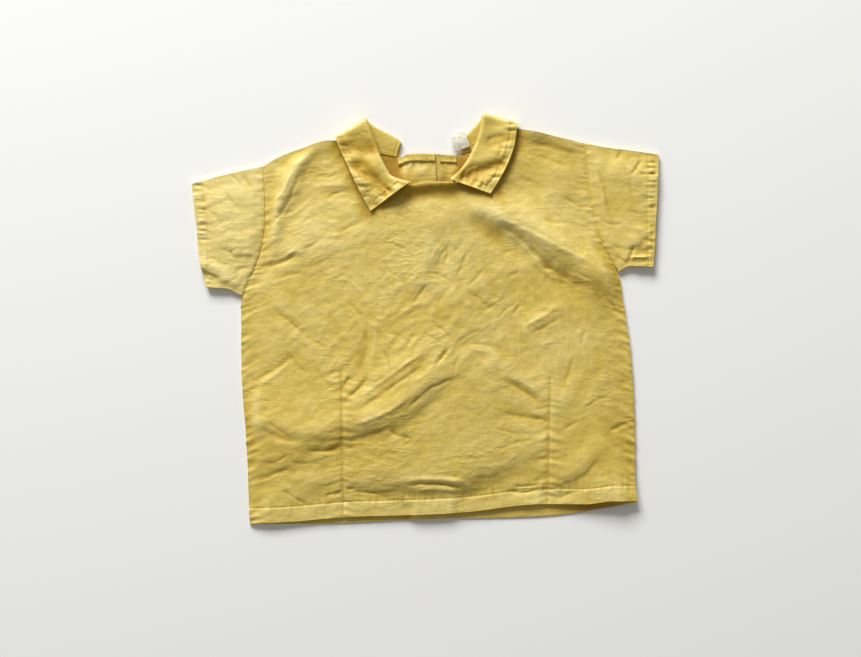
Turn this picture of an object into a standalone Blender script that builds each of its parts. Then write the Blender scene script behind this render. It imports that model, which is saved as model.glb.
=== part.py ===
"""Baby blouse, short sleeved, laid out flat with its front up.

Each cut piece is one closed wall of cloth. Every length below is in millimetres, and the meshes
are written in metres. +X runs to the viewer's right, +Y towards the neck and +Z up from the floor.
Left and right are the viewer's. The piece outlines are short tables, the folds are rows of tables,
and the heights are worked out layer by layer, from the floor up.
"""

from collections import namedtuple
from math import cos, pi, radians, sin

import bmesh
import bpy
import numpy as np

MM = 0.001

# Driving sizes of the cloth.
WALL = 1.2            # a panel's thickness
GAP = 0.3             # what two pieces keep between them
LAY_GAP = 0.45        # what a piece keeps from the uneven panel that it lies on
COLLAR_WALL = 1.1     # a collar leaf's thickness
LOFT = 2.4            # how far the front stands off the back, away from the seams
LOFT_REACH = 34.0     # how far from a seam the front takes to rise
SEAM_FLAT = 12.0      # how far from a seam the folds take to reach their full height
SLEEVE_LENGTH = 58.0  # from the armhole to the cuff
SLEEVE_LOFT = 2.0     # how far a sleeve's upper layer stands off the lower one
SLEEVE_REACH = 22.0   # how far from its long edges it takes to rise

# Grid of the panels: columns run up the piece and rows run across it.
FRONT_COLUMNS = 40
FRONT_ROWS = 34
BACK_COLUMNS = 11        # from the side seam to the placket
BACK_ROWS = 23
SLEEVE_COLUMNS = 8
SLEEVE_ROWS = 10

# Buttons of the centre-back placket.
BUTTON_RADIUS = 5.4
BUTTON_THICK = 1.9
BUTTON_COUNT = 5
BUTTON_SIDES = 14
BUTTON_DISH = 0.45
PLACKET_OVERLAP = 12.0   # from the button line to either placket edge
PLACKET_GAP = 0.6        # what the two plackets keep between them
PLACKET_RAMP = 9.0       # run of the step where one placket climbs on the other
HILL_LEVEL = 19.0        # the front is level this far to either side of the buttons
HILL_RUN = 60.0          # and slopes down over this run
BUTTON_MARGIN = 7.0      # the bump over a button is level this far past its rim
BUTTON_RAMP = 11.0       # run of the bump's slope
FALL_MARGIN = 8.5        # the same two sizes where the back lies on the collar
FALL_RAMP = 10.0

# Neck pieces.
BINDING_WALL = 1.0
FRONT_BINDING_WIDTH = 5.0
BACK_BINDING_WIDTH = 6.0
LABEL_WALL = 1.5

MUSTARD = (0.66, 0.50, 0.14)
MUSTARD_DEEP = (0.58, 0.42, 0.11)
TAPE_WHITE = (0.80, 0.75, 0.62)
BUTTON_CREAM = (0.78, 0.70, 0.50)

Fold = namedtuple("Fold", "x0 y0 x1 y1 bend width height")
Lift = namedtuple("Lift", "x y reach height")
Section = namedtuple("Section", "seam_x seam_y roll_x roll_y edge_x edge_y turn")

# Outlines. Side rows are (y, x), hem and top rows are (x, y).
SIDE_LEFT = (
    (-168.5, -144.7), (-131, -146.0), (-92, -148.0), (-62, -150.4), (-43, -151.3), (0, -151.6),
    (15, -151.0), (28, -146.6), (50, -137.6), (65, -133.9), (90, -132.2), (125, -133.7),
)
SIDE_RIGHT = (
    (-149.6, 174.0), (-115, 172.8), (-87, 172.4), (-62, 171.0), (-18, 167.5), (2, 164.4),
    (22, 161.4), (31, 159.0), (39, 158.6), (50, 151.6), (62, 144.8), (80, 138.9), (100, 134.7),
    (125, 132.6), (144, 130.8),
)
HEM_FRONT = (
    (-144.7, -168.5), (-110, -166.9), (-66, -163.2), (-20, -161.7), (30, -159.3), (97, -152.4),
    (130, -152.4), (155, -149.6), (174, -149.6),
)
HEM_BACK = (
    (-144.7, -169.0), (-100, -168.9), (-60, -167.7), (0, -164.8), (50, -163.9), (100, -162.0),
    (125, -159.4), (150, -155.4), (174, -150.4),
)
TOP_FRONT = (
    (-133.7, 125.0), (-120, 133.0), (-100, 140.3), (-80, 146.0), (-73, 146.0), (-62, 149.4),
    (-55.3, 151.0), (-51.9, 143.4), (-46.9, 132.4), (-38.9, 120.1), (-28.6, 111.4), (-15, 108.6),
    (5, 111.0), (22, 110.6), (31, 113.6), (41, 123.1), (48, 134.5), (52, 146.6), (55.2, 155.4),
    (64, 157.4), (75, 155.6), (90, 153.6), (110, 148.8), (130.8, 144.0),
)
TOP_BACK = (
    (-133.7, 125.0), (-120, 133.0), (-100, 140.3), (-80, 146.0), (-73, 146.0), (-62, 149.4),
    (-55.6, 150.6), (-48.8, 139.8), (-40.4, 135.0), (-31, 133.2), (-24, 131.8), (-15, 134.8),
    (0, 135.4), (12, 135.2), (20, 134.6), (29, 134.3), (36, 135.9), (43.5, 138.3), (51.2, 144.4),
    (55.2, 155.0), (64, 157.4), (75, 155.6), (90, 153.6), (110, 148.8), (130.8, 144.0),
)
# The line of the buttons, as (y, x). It leans a little, as the laid blouse does.
BUTTON_LINE = ((-166.0, 6.0), (136.0, -4.0))
BUTTON_TOP_Y = 121.0
BUTTON_PITCH = 58.0

# Sleeves: lower and upper edges as (x, y) from the armhole out, cuff as (y, x).
SLEEVE_LEFT_LOWER = ((-150.6, 19.0), (-156, 21.6), (-162, 24.4), (-171, 25.2), (-180.2, 26.0))
SLEEVE_LEFT_UPPER = ((-134.4, 125.0), (-150, 121.6), (-165, 118.2), (-180, 114.2), (-192.2, 110.6))
SLEEVE_LEFT_CUFF = ((26, -180.2), (41, -184), (56, -186.5), (78, -188.2), (95, -190.6), (110.6, -192.2))
SLEEVE_LEFT_ARM = ((19, -150.6), (28, -147.3), (50, -138.3), (65, -134.6), (90, -132.9), (125, -134.4))
SLEEVE_RIGHT_LOWER = ((160.2, 31.0), (162, 37.6), (166, 43.2), (175, 43.0), (187.2, 42.6))
SLEEVE_RIGHT_UPPER = ((131.5, 144.0), (140, 142.2), (155, 139.8), (170, 138.0), (191.6, 134.8))
SLEEVE_RIGHT_CUFF = ((42.6, 187.2), (58, 188.2), (80, 189.2), (105, 190.6), (134.8, 191.6))
SLEEVE_RIGHT_ARM = (
    (31, 160.2), (39, 160.0), (50, 152.5), (62, 145.5), (80, 139.6), (100, 135.4), (125, 133.3),
    (144, 131.5),
)

# Collar leaves, a row for each section from the front end round the shoulder to the back end.
# turn is 90 where the leaf lies on the front, 0 on the shoulder fold and -90 under the back.
COLLAR_LEFT = (
    Section(-15.0, 109.4, -12.6, 111.4, -45.0, 88.0, 90),
    Section(-28.0, 112.4, -26.0, 115.4, -50.5, 98.0, 90),
    Section(-38.0, 121.0, -31.5, 121.5, -57.5, 112.0, 90),
    Section(-46.0, 133.0, -37.6, 134.0, -65.0, 128.0, 90),
    Section(-51.0, 144.0, -44.0, 150.5, -70.5, 139.5, 90),
    Section(-53.6, 151.0, -49.2, 164.2, -74.0, 147.8, 45),
    Section(-54.0, 152.4, -49.6, 165.0, -74.5, 148.6, 0),
    Section(-53.4, 151.2, -49.0, 164.2, -73.6, 147.6, -45),
    Section(-47.4, 142.0, -46.0, 160.4, -67.5, 133.0, -90),
    Section(-40.0, 137.0, -39.5, 156.0, -57.5, 120.0, -90),
    Section(-31.0, 134.7, -29.8, 151.2, -42.0, 113.0, -90),
    Section(-24.4, 133.3, -20.4, 145.8, -24.0, 110.0, -90),
)
COLLAR_RIGHT = (
    Section(23.0, 111.6, 20.4, 114.0, 53.0, 102.2, 90),
    Section(31.0, 114.8, 27.2, 120.0, 56.6, 107.4, 90),
    Section(40.0, 124.0, 34.2, 129.2, 62.0, 116.4, 90),
    Section(47.0, 135.4, 39.8, 140.2, 67.2, 126.4, 90),
    Section(51.0, 147.2, 44.0, 151.0, 72.4, 141.0, 90),
    Section(54.0, 155.6, 47.6, 168.2, 75.8, 159.4, 45),
    Section(54.4, 156.8, 48.0, 169.0, 76.5, 160.6, 0),
    Section(53.6, 155.8, 47.4, 168.2, 75.4, 159.2, -45),
    Section(50.0, 146.2, 46.2, 164.6, 71.0, 144.0, -90),
    Section(43.0, 140.2, 40.8, 157.6, 60.0, 130.0, -90),
    Section(36.0, 137.6, 34.6, 151.4, 46.0, 120.0, -90),
    Section(29.0, 135.6, 28.2, 147.6, 31.0, 114.0, -90),
)
COLLAR_STATIONS = 24      # sections worked out along a leaf
STAND_STEPS = 2           # steps from the seam to the roll
FALL_STEPS = 4            # steps from the roll to the outer edge
ROLL_RADIUS_FRONT = 1.9
ROLL_RADIUS_BACK = 1.3
ROLL_RISE = 1.6           # how far the front roll stands above the leaf's outer edge

# Folds of the front: a ridge has a positive height, a trough a negative one. bend is how far the
# middle of the line lies to its left, seen along it.
FRONT_FOLDS = (
    Fold(40, 88, 88, 58, -4, 9, -2.4),
    Fold(86, 59, 142, 24, -5, 9, -2.6),
    Fold(52, 90, 112, 60, 4, 8, 1.7),
    Fold(96, 70, 158, 34, 7, 9, 2.0),
    Fold(-148, -80, -74, -86, -3, 8, 2.0),
    Fold(-82, -86, 22, -27, -8, 9, 2.3),
    Fold(-144, -84, -72, -98, -4, 6, -1.7),
    Fold(-78, -98, -32, -90, -2, 6, -1.9),
    Fold(-34, -92, 24, -46, -6, 6, -1.8),
    Fold(-66, -66, 2, -20, 3, 6, 1.6),
    Fold(-45, -46, -68, -67, 2, 4, -1.5),
    Fold(-60, -74, 8, -30, -3, 5, -1.3),
    Fold(-100, -106, -66, -106, 3, 5, -1.4),
    Fold(-142, -134, -110, -121, -3, 7, -1.6),
    Fold(-118, -139, -96, -154, -2, 5, -1.2),
    Fold(-92, -136, -50, -138, 3, 6, -1.2),
    Fold(-62, -141, -20, -138, -3, 5, -1.6),
    Fold(-24, -138, 40, -138, -4, 5, -2.2),
    Fold(-30, -126, 42, -127, -4, 9, 1.7),
    Fold(-30, -90, -10, -99, 2, 5, -1.3),
    Fold(-132, -82, -108, -100, 2, 6, -1.2),
    Fold(-130, 12, -74, -28, 4, 6, -1.2),
    Fold(-105, -26, -147, -54, -3, 8, -1.5),
    Fold(-49, 4, -52, -50, -2, 6, -1.2),
    Fold(24, -21, 62, -22, 5, 5, -1.4),
    Fold(20, -24, 8, -40, 2, 6, -1.4),
    Fold(0, -60, 32, -45, 3, 5, -1.4),
    Fold(62, -47, 100, -72, 3, 7, -1.8),
    Fold(60, -76, 106, -84, 3, 6, -1.5),
    Fold(78, -8, 112, 16, 3, 6, 1.4),
    Fold(120, -28, 112, -58, -2, 6, -1.2),
    Fold(146, -92, 170, -84, 2, 6, -1.4),
    Fold(34, -128, 102, -106, -7, 9, -2.0),
    Fold(64, -142, 104, -140, 2, 5, -1.6),
    Fold(98, -142, 146, -106, -5, 8, -2.0),
    Fold(110, -124, 150, -88, -4, 9, 1.5),
    Fold(-99, 130, -132, 72, -6, 9, -1.9),
    Fold(-116, 128, -132, 94, -3, 7, 1.5),
    Fold(-94, 118, -66, 121, 4, 7, -1.2),
    Fold(-82, 101, -58, 107, 2, 6, -1.2),
    Fold(-142, 42, -102, 55, 3, 6, -1.7),
    Fold(-132, 49, -102, 60, 3, 5, 1.4),
    Fold(-100, 57, -86, 66, 1, 5, -1.1),
    Fold(-122, 33, -98, 39, 2, 5, -1.1),
    Fold(-72, 71, -48, 81, 2, 6, -1.1),
    Fold(8, 43, 22, 66, 2, 7, -1.3),
    Fold(-12, 12, 2, 30, 2, 6, -1.0),
    Fold(0, 38, 32, 29, 2, 6, -1.1),
    Fold(112, 102, 138, 91, 2, 7, -1.4),
    Fold(72, 118, 98, 111, 2, 8, -1.0),
    Fold(82, 144, 132, 135, -3, 7, -1.3),
    Fold(160, 2, 166, -12, 1, 5, -1.2),
)
DART_LEFT = Fold(-69, -40, -68, -158, 0, 3.5, -1.0)
DART_RIGHT = Fold(101.5, -42, 100, -150, 0, 3.5, -1.0)
SLEEVE_LEFT_FOLDS = (
    Fold(-157, 49, -141, 52, 2, 5, -1.2),
    Fold(-156, 41, -141, 42, 2, 4, -1.0),
    Fold(-186, 41, -168, 32, 2, 6, -1.4),
    Fold(-149, 20, -137, 35, 2, 5, -1.2),
    Fold(-151, 120, -142, 106, 2, 5, -1.1),
    Fold(-175, 100, -150, 62, 6, 12, 1.0),
)
SLEEVE_RIGHT_FOLDS = (
    Fold(140, 128, 156, 70, 5, 8, -1.3),
    Fold(166, 128, 172, 66, -3, 10, 1.0),
    Fold(150, 62, 186, 56, 3, 6, -1.2),
    Fold(146, 98, 160, 88, 2, 6, -1.0),
)
# Places where the cloth stands off what is under it. The hem's right corner is kicked up.
FRONT_LIFTS = (
    Lift(160, -150, 34, 4.2),
    Lift(-138, -168, 26, 1.6),
    Lift(-60, -60, 70, 0.9),
    Lift(80, -90, 60, 1.2),
    Lift(4, 110, 27, 2.0),
)
BACK_LIFTS = (Lift(178, -154, 26, 4.4),)


def smooth(rows, at):
    """A smooth curve through (key, value) rows, read at the keys in the array at."""
    keys = np.array([row[0] for row in rows], dtype=float)
    values = np.array([row[1] for row in rows], dtype=float)
    steps = np.diff(keys)
    slopes = np.diff(values) / steps
    tangents = np.empty_like(values)
    tangents[0], tangents[-1] = slopes[0], slopes[-1]
    flat = slopes[:-1] * slopes[1:] <= 0
    weights = steps[1:] / (steps[:-1] + steps[1:])
    tangents[1:-1] = np.where(flat, 0.0, weights * slopes[:-1] + (1 - weights) * slopes[1:])
    at = np.clip(np.asarray(at, dtype=float), keys[0], keys[-1])
    i = np.clip(np.searchsorted(keys, at, side="right") - 1, 0, len(steps) - 1)
    t = (at - keys[i]) / steps[i]
    rise = (2 * t**3 - 3 * t**2 + 1) * values[i] + (3 * t**2 - 2 * t**3) * values[i + 1]
    lean = (t**3 - 2 * t**2 + t) * tangents[i] + (t**3 - t**2) * tangents[i + 1]
    return rise + steps[i] * lean


def ease(x):
    """0 below 0, 1 above 1, and smooth between."""
    x = np.clip(x, 0.0, 1.0)
    return x * x * (3 - 2 * x)


def fold_height(folds, x, y):
    """The summed height of the folds at x, y."""
    total = np.zeros_like(x)
    for fold in folds:
        dx, dy = fold.x1 - fold.x0, fold.y1 - fold.y0
        length = np.hypot(dx, dy)
        along = ((x - fold.x0) * dx + (y - fold.y0) * dy) / length**2
        across = ((y - fold.y0) * dx - (x - fold.x0) * dy) / length
        across = across - fold.bend * 4 * np.clip(along, 0, 1) * (1 - np.clip(along, 0, 1))
        ends = ease(along / 0.3 + 0.35) * ease((1 - along) / 0.3 + 0.35)
        total = total + fold.height * np.exp(-((across / fold.width) ** 2)) * ends
    return total


def lift_height(lifts, x, y):
    """The summed height of round lifts at x, y."""
    return sum(lift.height * np.exp(-((x - lift.x) ** 2 + (y - lift.y) ** 2) / lift.reach**2) for lift in lifts)


def rise_above(height):
    """A height kept above nothing: it tends to 0 below and to itself above."""
    return 0.5 * (height + np.sqrt(height**2 + 0.25)) - 0.05


def button_x(y):
    (y0, x0), (y1, x1) = BUTTON_LINE
    return x0 + (x1 - x0) * (y - y0) / (y1 - y0)


def button_centres():
    """Button centres from the neck down, as (x, y)."""
    ys = [BUTTON_TOP_Y - BUTTON_PITCH * i for i in range(BUTTON_COUNT)]
    return [(button_x(y), y) for y in ys]


def polygon_distance(corners, x, y):
    """Distance from each x, y to a closed outline, 0 inside it."""
    best = np.full(x.shape, np.inf)
    inside = np.zeros(x.shape, dtype=bool)
    for (x0, y0), (x1, y1) in zip(corners, corners[1:] + corners[:1]):
        dx, dy = x1 - x0, y1 - y0
        t = np.clip(((x - x0) * dx + (y - y0) * dy) / (dx * dx + dy * dy), 0, 1)
        best = np.minimum(best, np.hypot(x - x0 - t * dx, y - y0 - t * dy))
        if y0 != y1:
            inside ^= ((y0 > y) != (y1 > y)) & (x < x0 + (y - y0) * dx / dy)
    return np.where(inside, 0.0, best)


def back_fall_outline(sections):
    """What a collar leaf covers of the floor: its roll and its outer edge behind the shoulder."""
    behind = [s for s in sections if s.turn < 60]
    return [(s.roll_x, s.roll_y) for s in behind] + [(s.edge_x, s.edge_y) for s in reversed(behind)]


def under_back(x, y):
    """Height that the collar falls and the buttons give whatever lies on them."""
    fall = np.minimum(
        polygon_distance(back_fall_outline(COLLAR_LEFT), x, y),
        polygon_distance(back_fall_outline(COLLAR_RIGHT), x, y),
    )
    lifted = (COLLAR_WALL + LAY_GAP) * ease(1 + (FALL_MARGIN - fall) / FALL_RAMP)
    for bx, by in button_centres():
        near = np.hypot(x - bx, y - by) - BUTTON_RADIUS
        lifted = np.maximum(lifted, (BUTTON_THICK + GAP) * ease(1 + (BUTTON_MARGIN - near) / BUTTON_RAMP))
    return lifted + lift_height(BACK_LIFTS, x, y)


def back_left_floor(x, y):
    """The left back lies on the floor, and climbs on the right back at the placket."""
    step = ease((x - button_x(y) + PLACKET_OVERLAP + PLACKET_RAMP + 1.0) / PLACKET_RAMP)
    return under_back(x, y) + (WALL + PLACKET_GAP) * step


def front_rest(x, y):
    """What the front rests on: the backs' upper face, spread softly over the placket's steps."""
    from_line = np.abs(x - button_x(y))
    buttons = (BUTTON_THICK + GAP) * ease((y - BUTTON_TOP_Y + BUTTON_PITCH * BUTTON_COUNT - 10.0) / 40.0)
    hill = (WALL + PLACKET_GAP + buttons) * ease(1 - (from_line - HILL_LEVEL) / HILL_RUN)
    fall = np.minimum(
        polygon_distance(back_fall_outline(COLLAR_LEFT), x, y),
        polygon_distance(back_fall_outline(COLLAR_RIGHT), x, y),
    )
    lifted = (COLLAR_WALL + LAY_GAP) * ease(1 + (FALL_MARGIN + 3.0 - fall) / (2 * FALL_RAMP))
    return WALL + np.maximum(hill, lifted) + lift_height(BACK_LIFTS, x, y)


def front_floor(x, y, near_side, near_top, near_hem):
    """Lower face of the front, from its distances to the seams and the hem."""
    side = ease(near_side / LOFT_REACH)
    top = ease(near_top / LOFT_REACH)
    hem = 0.25 + 0.75 * ease(near_hem / LOFT_REACH)
    folds = fold_height(FRONT_FOLDS + (DART_LEFT, DART_RIGHT), x, y)
    seam = ease(near_side / SEAM_FLAT) * ease(near_top / SEAM_FLAT)
    height = LOFT * side * top * hem + folds * seam + lift_height(FRONT_LIFTS, x, y) * ease(near_side / 16.0)
    return front_rest(x, y) + GAP + rise_above(height)


def panel_grid(left, right, hem, top, columns, rows):
    """x, y of a panel between its side curves (y, x) and its hem and top curves (x, y)."""
    u = np.linspace(0, 1, columns + 1)[None, :]
    v = np.linspace(0, 1, rows + 1)[:, None]
    left_y = left[0][0] + (left[-1][0] - left[0][0]) * v
    right_y = right[0][0] + (right[-1][0] - right[0][0]) * v
    x = (1 - u) * smooth(left, left_y) + u * smooth(right, right_y)
    hem_x = left[0][1] + (right[0][1] - left[0][1]) * u
    top_x = left[-1][1] + (right[-1][1] - left[-1][1]) * u
    y = (1 - v) * smooth(hem, hem_x) + v * smooth(top, top_x)
    return x, y, u, v


def front_surface(columns, rows):
    x, y, u, v = panel_grid(SIDE_LEFT, SIDE_RIGHT, HEM_FRONT, TOP_FRONT, columns, rows)
    wide = x[:, -1:] - x[:, :1]
    high = y[-1:, :] - y[:1, :]
    floor = front_floor(x, y, np.minimum(u, 1 - u) * wide, (1 - v) * high, v * high)
    return x, y, floor


def front_top_at(x, y):
    """Upper face of the front at a single place, for what lies on it."""
    v = np.clip((y - smooth(HEM_FRONT, x)) / (smooth(TOP_FRONT, x) - smooth(HEM_FRONT, x)), 0, 1)
    near_side = np.minimum(x - smooth(SIDE_LEFT, y), smooth(SIDE_RIGHT, y) - x)
    high = smooth(TOP_FRONT, x) - smooth(HEM_FRONT, x)
    return WALL + front_floor(x, y, near_side, (1 - v) * high, v * high)


def put_mesh(name, points, faces, colour, roughness=0.9):
    """One object from points in millimetres and faces, closed and facing out."""
    mesh = bpy.data.meshes.new(name)
    mesh.from_pydata([tuple(MM * c for c in p) for p in points], [], faces)
    work = bmesh.new()
    work.from_mesh(mesh)
    bmesh.ops.recalc_face_normals(work, faces=work.faces)
    work.to_mesh(mesh)
    work.free()
    mesh.shade_smooth()
    mesh.set_sharp_from_angle(angle=radians(50))
    piece = bpy.data.objects.new(name, mesh)
    bpy.context.collection.objects.link(piece)
    material = bpy.data.materials.new(name + "_finish")
    material.use_nodes = True
    shader = material.node_tree.nodes["Principled BSDF"]
    shader.inputs["Base Color"].default_value = (*colour, 1.0)
    shader.inputs["Roughness"].default_value = roughness
    shader.inputs["Metallic"].default_value = 0.0
    mesh.materials.append(material)
    return piece


def put_wall(name, outer, inner, colour, ring=False):
    """A closed wall between two grids of points. With ring, each row closes on itself."""
    rows, columns = outer.shape[:2]
    points = np.concatenate([outer.reshape(-1, 3), inner.reshape(-1, 3)])
    base = rows * columns

    def at(row, column, side):
        return side * base + row * columns + column % columns

    faces = []
    steps = columns if ring else columns - 1
    for row in range(rows - 1):
        for column in range(steps):
            quad = [(row, column), (row, column + 1), (row + 1, column + 1), (row + 1, column)]
            faces.append([at(r, c, 0) for r, c in quad])
            faces.append([at(r, c, 1) for r, c in reversed(quad)])
    for column in range(steps):
        for row in (0, rows - 1):
            faces.append([at(row, column, 0), at(row, column + 1, 0), at(row, column + 1, 1), at(row, column, 1)])
    if not ring:
        for row in range(rows - 1):
            for column in (0, columns - 1):
                faces.append([at(row, column, 0), at(row + 1, column, 0), at(row + 1, column, 1), at(row, column, 1)])
    return put_mesh(name, points, faces, colour)


def stack(x, y, z):
    return np.stack(np.broadcast_arrays(x, y, z), axis=-1)


def put_sheet(name, x, y, floor, thick, colour):
    """A wall of one thickness, straight up from its lower face."""
    return put_wall(name, stack(x, y, floor + thick), stack(x, y, floor), colour)


def make_front():
    """The front, and its faces as a grid for the pieces that lie on it."""
    x, y, floor = front_surface(FRONT_COLUMNS, FRONT_ROWS)
    put_sheet("front_panel", x, y, floor, WALL, MUSTARD)
    return stack(x, y, floor)


def make_backs():
    """Two backs, cut from one outline at the placket edges. Their columns follow the button line."""
    v = np.linspace(0, 1, BACK_ROWS + 1)[:, None]
    left_y = SIDE_LEFT[0][0] + (SIDE_LEFT[-1][0] - SIDE_LEFT[0][0]) * v
    right_y = SIDE_RIGHT[0][0] + (SIDE_RIGHT[-1][0] - SIDE_RIGHT[0][0]) * v
    middle = button_x(BUTTON_LINE[0][0] + (BUTTON_LINE[1][0] - BUTTON_LINE[0][0]) * v)
    u = np.linspace(0, 1, BACK_COLUMNS + 1)[None, :]
    placket = np.linspace(-PLACKET_OVERLAP, PLACKET_OVERLAP, 7)[None, :]
    step_foot = -PLACKET_OVERLAP - PLACKET_RAMP - 2.0
    step = np.array([[step_foot, step_foot + 5.0, -PLACKET_OVERLAP - 1.0]])
    side = smooth(SIDE_LEFT, left_y)
    plain = side + (middle + step_foot - side) * u[:, :-1]
    left_x = np.concatenate([plain, middle + step, middle + placket[:, 1:]], axis=1)
    side = smooth(SIDE_RIGHT, right_y)
    plain = middle + PLACKET_OVERLAP + (side - middle - PLACKET_OVERLAP) * u[:, 1:]
    right_x = np.concatenate([middle + placket, plain], axis=1)
    grids = []
    for name, x, floor in (("back_panel_left", left_x, back_left_floor), ("back_panel_right", right_x, under_back)):
        y = (1 - v) * smooth(HEM_BACK, x[:1, :]) + v * smooth(TOP_BACK, x[-1:, :])
        put_sheet(name, x, y, floor(x, y), WALL, MUSTARD_DEEP)
        grids.append(stack(x, y, floor(x, y)))
    return grids


def sleeve_grid(lower, upper, arm, cuff, columns, rows):
    """x, y of a sleeve between its four edges. Columns run up it and rows run out along it."""
    s = np.linspace(0, 1, rows + 1)[:, None]
    a = np.linspace(0, 1, columns + 1)[None, :]

    def edge(points, t, key_first):
        keys = points[0][0] + (points[-1][0] - points[0][0]) * t
        order = points if points[0][0] < points[-1][0] else tuple(reversed(points))
        values = smooth(order, keys)
        return (keys, values) if key_first else (values, keys)

    low_x, low_y = edge(lower, s, True)
    up_x, up_y = edge(upper, s, True)
    arm_x, arm_y = edge(arm, a, False)
    cuff_x, cuff_y = edge(cuff, a, False)

    def blend(low, up, inner, outer):
        corners = (1 - s) * ((1 - a) * low[0] + a * up[0]) + s * ((1 - a) * low[-1] + a * up[-1])
        return (1 - a) * low + a * up + (1 - s) * inner + s * outer - corners

    return blend(low_x, up_x, arm_x, cuff_x), blend(low_y, up_y, arm_y, cuff_y), s, a


def make_sleeve(name, lower, upper, arm, cuff, folds):
    """A flattened tube: the upper layer is folded into the lower one at both long edges."""
    x, y, s, a = sleeve_grid(lower, upper, arm, cuff, SLEEVE_ROWS, SLEEVE_COLUMNS)
    high = np.hypot(x[:, -1:] - x[:, :1], y[:, -1:] - y[:, :1])
    near_edge = np.minimum(a, 1 - a) * high
    near_arm = ease(s * SLEEVE_LENGTH / SEAM_FLAT)
    height = SLEEVE_LOFT * ease(near_edge / SLEEVE_REACH) * (0.35 + 0.65 * near_arm)
    height = height + fold_height(folds, x, y) * ease(near_edge / 9.0) * near_arm
    top = 2 * WALL + 2 * GAP + rise_above(height)
    floor = np.zeros_like(top)
    inset_x = (x[:, -1:] - x[:, :1]) / high * WALL
    inset_y = (y[:, -1:] - y[:, :1]) / high * WALL
    inner_x, inner_y = x.copy(), y.copy()
    for column, way in ((0, 1), (-1, -1)):
        inner_x[:, column] += way * inset_x[:, 0]
        inner_y[:, column] += way * inset_y[:, 0]
    outer = np.concatenate([stack(x, y, top), stack(x, y, floor)[:, ::-1]], axis=1)
    hollow = (inner_x, inner_y)
    inner = np.concatenate([stack(*hollow, top - WALL), stack(*hollow, floor + WALL)[:, ::-1]], axis=1)
    put_wall(name, outer, inner, MUSTARD, ring=True)


def leaf_sections(sections, count):
    """The section table read at count places, evenly along the leaf's outer edge."""
    rows = np.array(sections, dtype=float)
    steps = np.hypot(np.diff(rows[:, 4]), np.diff(rows[:, 5])) + 0.25 * np.abs(np.diff(rows[:, 6])) * 0.12
    at = np.concatenate([[0.0], np.cumsum(np.maximum(steps, 2.2))])
    places = np.union1d(np.linspace(0, at[-1], count), at[4:9])
    places = places[np.concatenate([[True], np.diff(places) > 0.7])]
    columns = [smooth(list(zip(at, rows[:, c])), places) for c in range(rows.shape[1])]
    return np.stack(columns, axis=1)


def collar_middle(sections, count):
    """Middle face of a leaf, a row for each section: seam, stand, roll, fall and outer edge."""
    grid = []
    for seam_x, seam_y, roll_x, roll_y, edge_x, edge_y, turn in leaf_sections(sections, count):
        seam, roll, edge = (np.array(p) for p in ((seam_x, seam_y), (roll_x, roll_y), (edge_x, edge_y)))
        angle = radians(turn)
        up = (1 + sin(angle)) / 2
        front = float(front_top_at(np.array(seam_x), np.array(seam_y - 2.0)))
        seam_z = up * (front - WALL / 2) + (1 - up) * (COLLAR_WALL + GAP + WALL / 2 + 0.2)
        over = float(front_top_at(np.array(edge_x), np.array(edge_y - 1.0)))
        edge_z = up * (over + GAP + COLLAR_WALL / 2 + 0.25) + (1 - up) * COLLAR_WALL / 2
        radius = up * ROLL_RADIUS_FRONT + (1 - up) * ROLL_RADIUS_BACK
        roll_z = up * (front + ROLL_RISE + radius) + (1 - up) * (COLLAR_WALL / 2 + radius)
        toward = (seam - roll) / np.hypot(*(seam - roll)) + (edge - roll) / np.hypot(*(edge - roll))
        tip = np.array([*(-toward / np.hypot(*toward)), 0.0])
        out = np.array([-(roll - edge)[1], (roll - edge)[0]])
        out = out / np.hypot(*out) * np.sign(np.dot(out, roll - np.array([0.0, 100.0])) or 1.0)
        side = np.array([*(out * cos(angle)), sin(angle)])
        wrap = 2.6 * (1 - cos(angle)) if abs(turn) < 89 else 0.0
        seam3 = np.array([*(seam - out * 0.3 * wrap), seam_z])
        roll3 = np.array([*(roll - tip[:2] * radius - out * cos(angle) * radius), roll_z])
        edge3 = np.array([*edge, edge_z])
        path = [seam3 + (roll3 - side * radius - seam3) * k / STAND_STEPS for k in range(STAND_STEPS)]
        for k in range(5):
            t = pi * k / 4
            path.append(roll3 + radius * (tip * sin(t) - side * cos(t)))
        start = path[-1]
        for k in range(1, FALL_STEPS + 1):
            t = k / FALL_STEPS
            point = start + (edge3 - start) * t
            point[2] = start[2] + (edge3[2] - start[2]) * (t * (2 - t))
            if turn > 20:
                over = float(front_top_at(np.array(point[0]), np.array(point[1])))
                point[2] = max(point[2], over + LAY_GAP + COLLAR_WALL / 2 + 0.25)
            path.append(point)
        grid.append(path)
    return np.array(grid)


def offset_both(middle, thick):
    """The two faces of a wall round its middle face."""
    along = np.gradient(middle, axis=0)
    across = np.gradient(middle, axis=1)
    normal = np.cross(along, across)
    normal = normal / np.linalg.norm(normal, axis=-1, keepdims=True)
    return middle + normal * thick / 2, middle - normal * thick / 2


def make_collar(name, sections):
    outer, inner = offset_both(collar_middle(sections, COLLAR_STATIONS), COLLAR_WALL)
    put_wall(name, outer, inner, MUSTARD)


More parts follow.
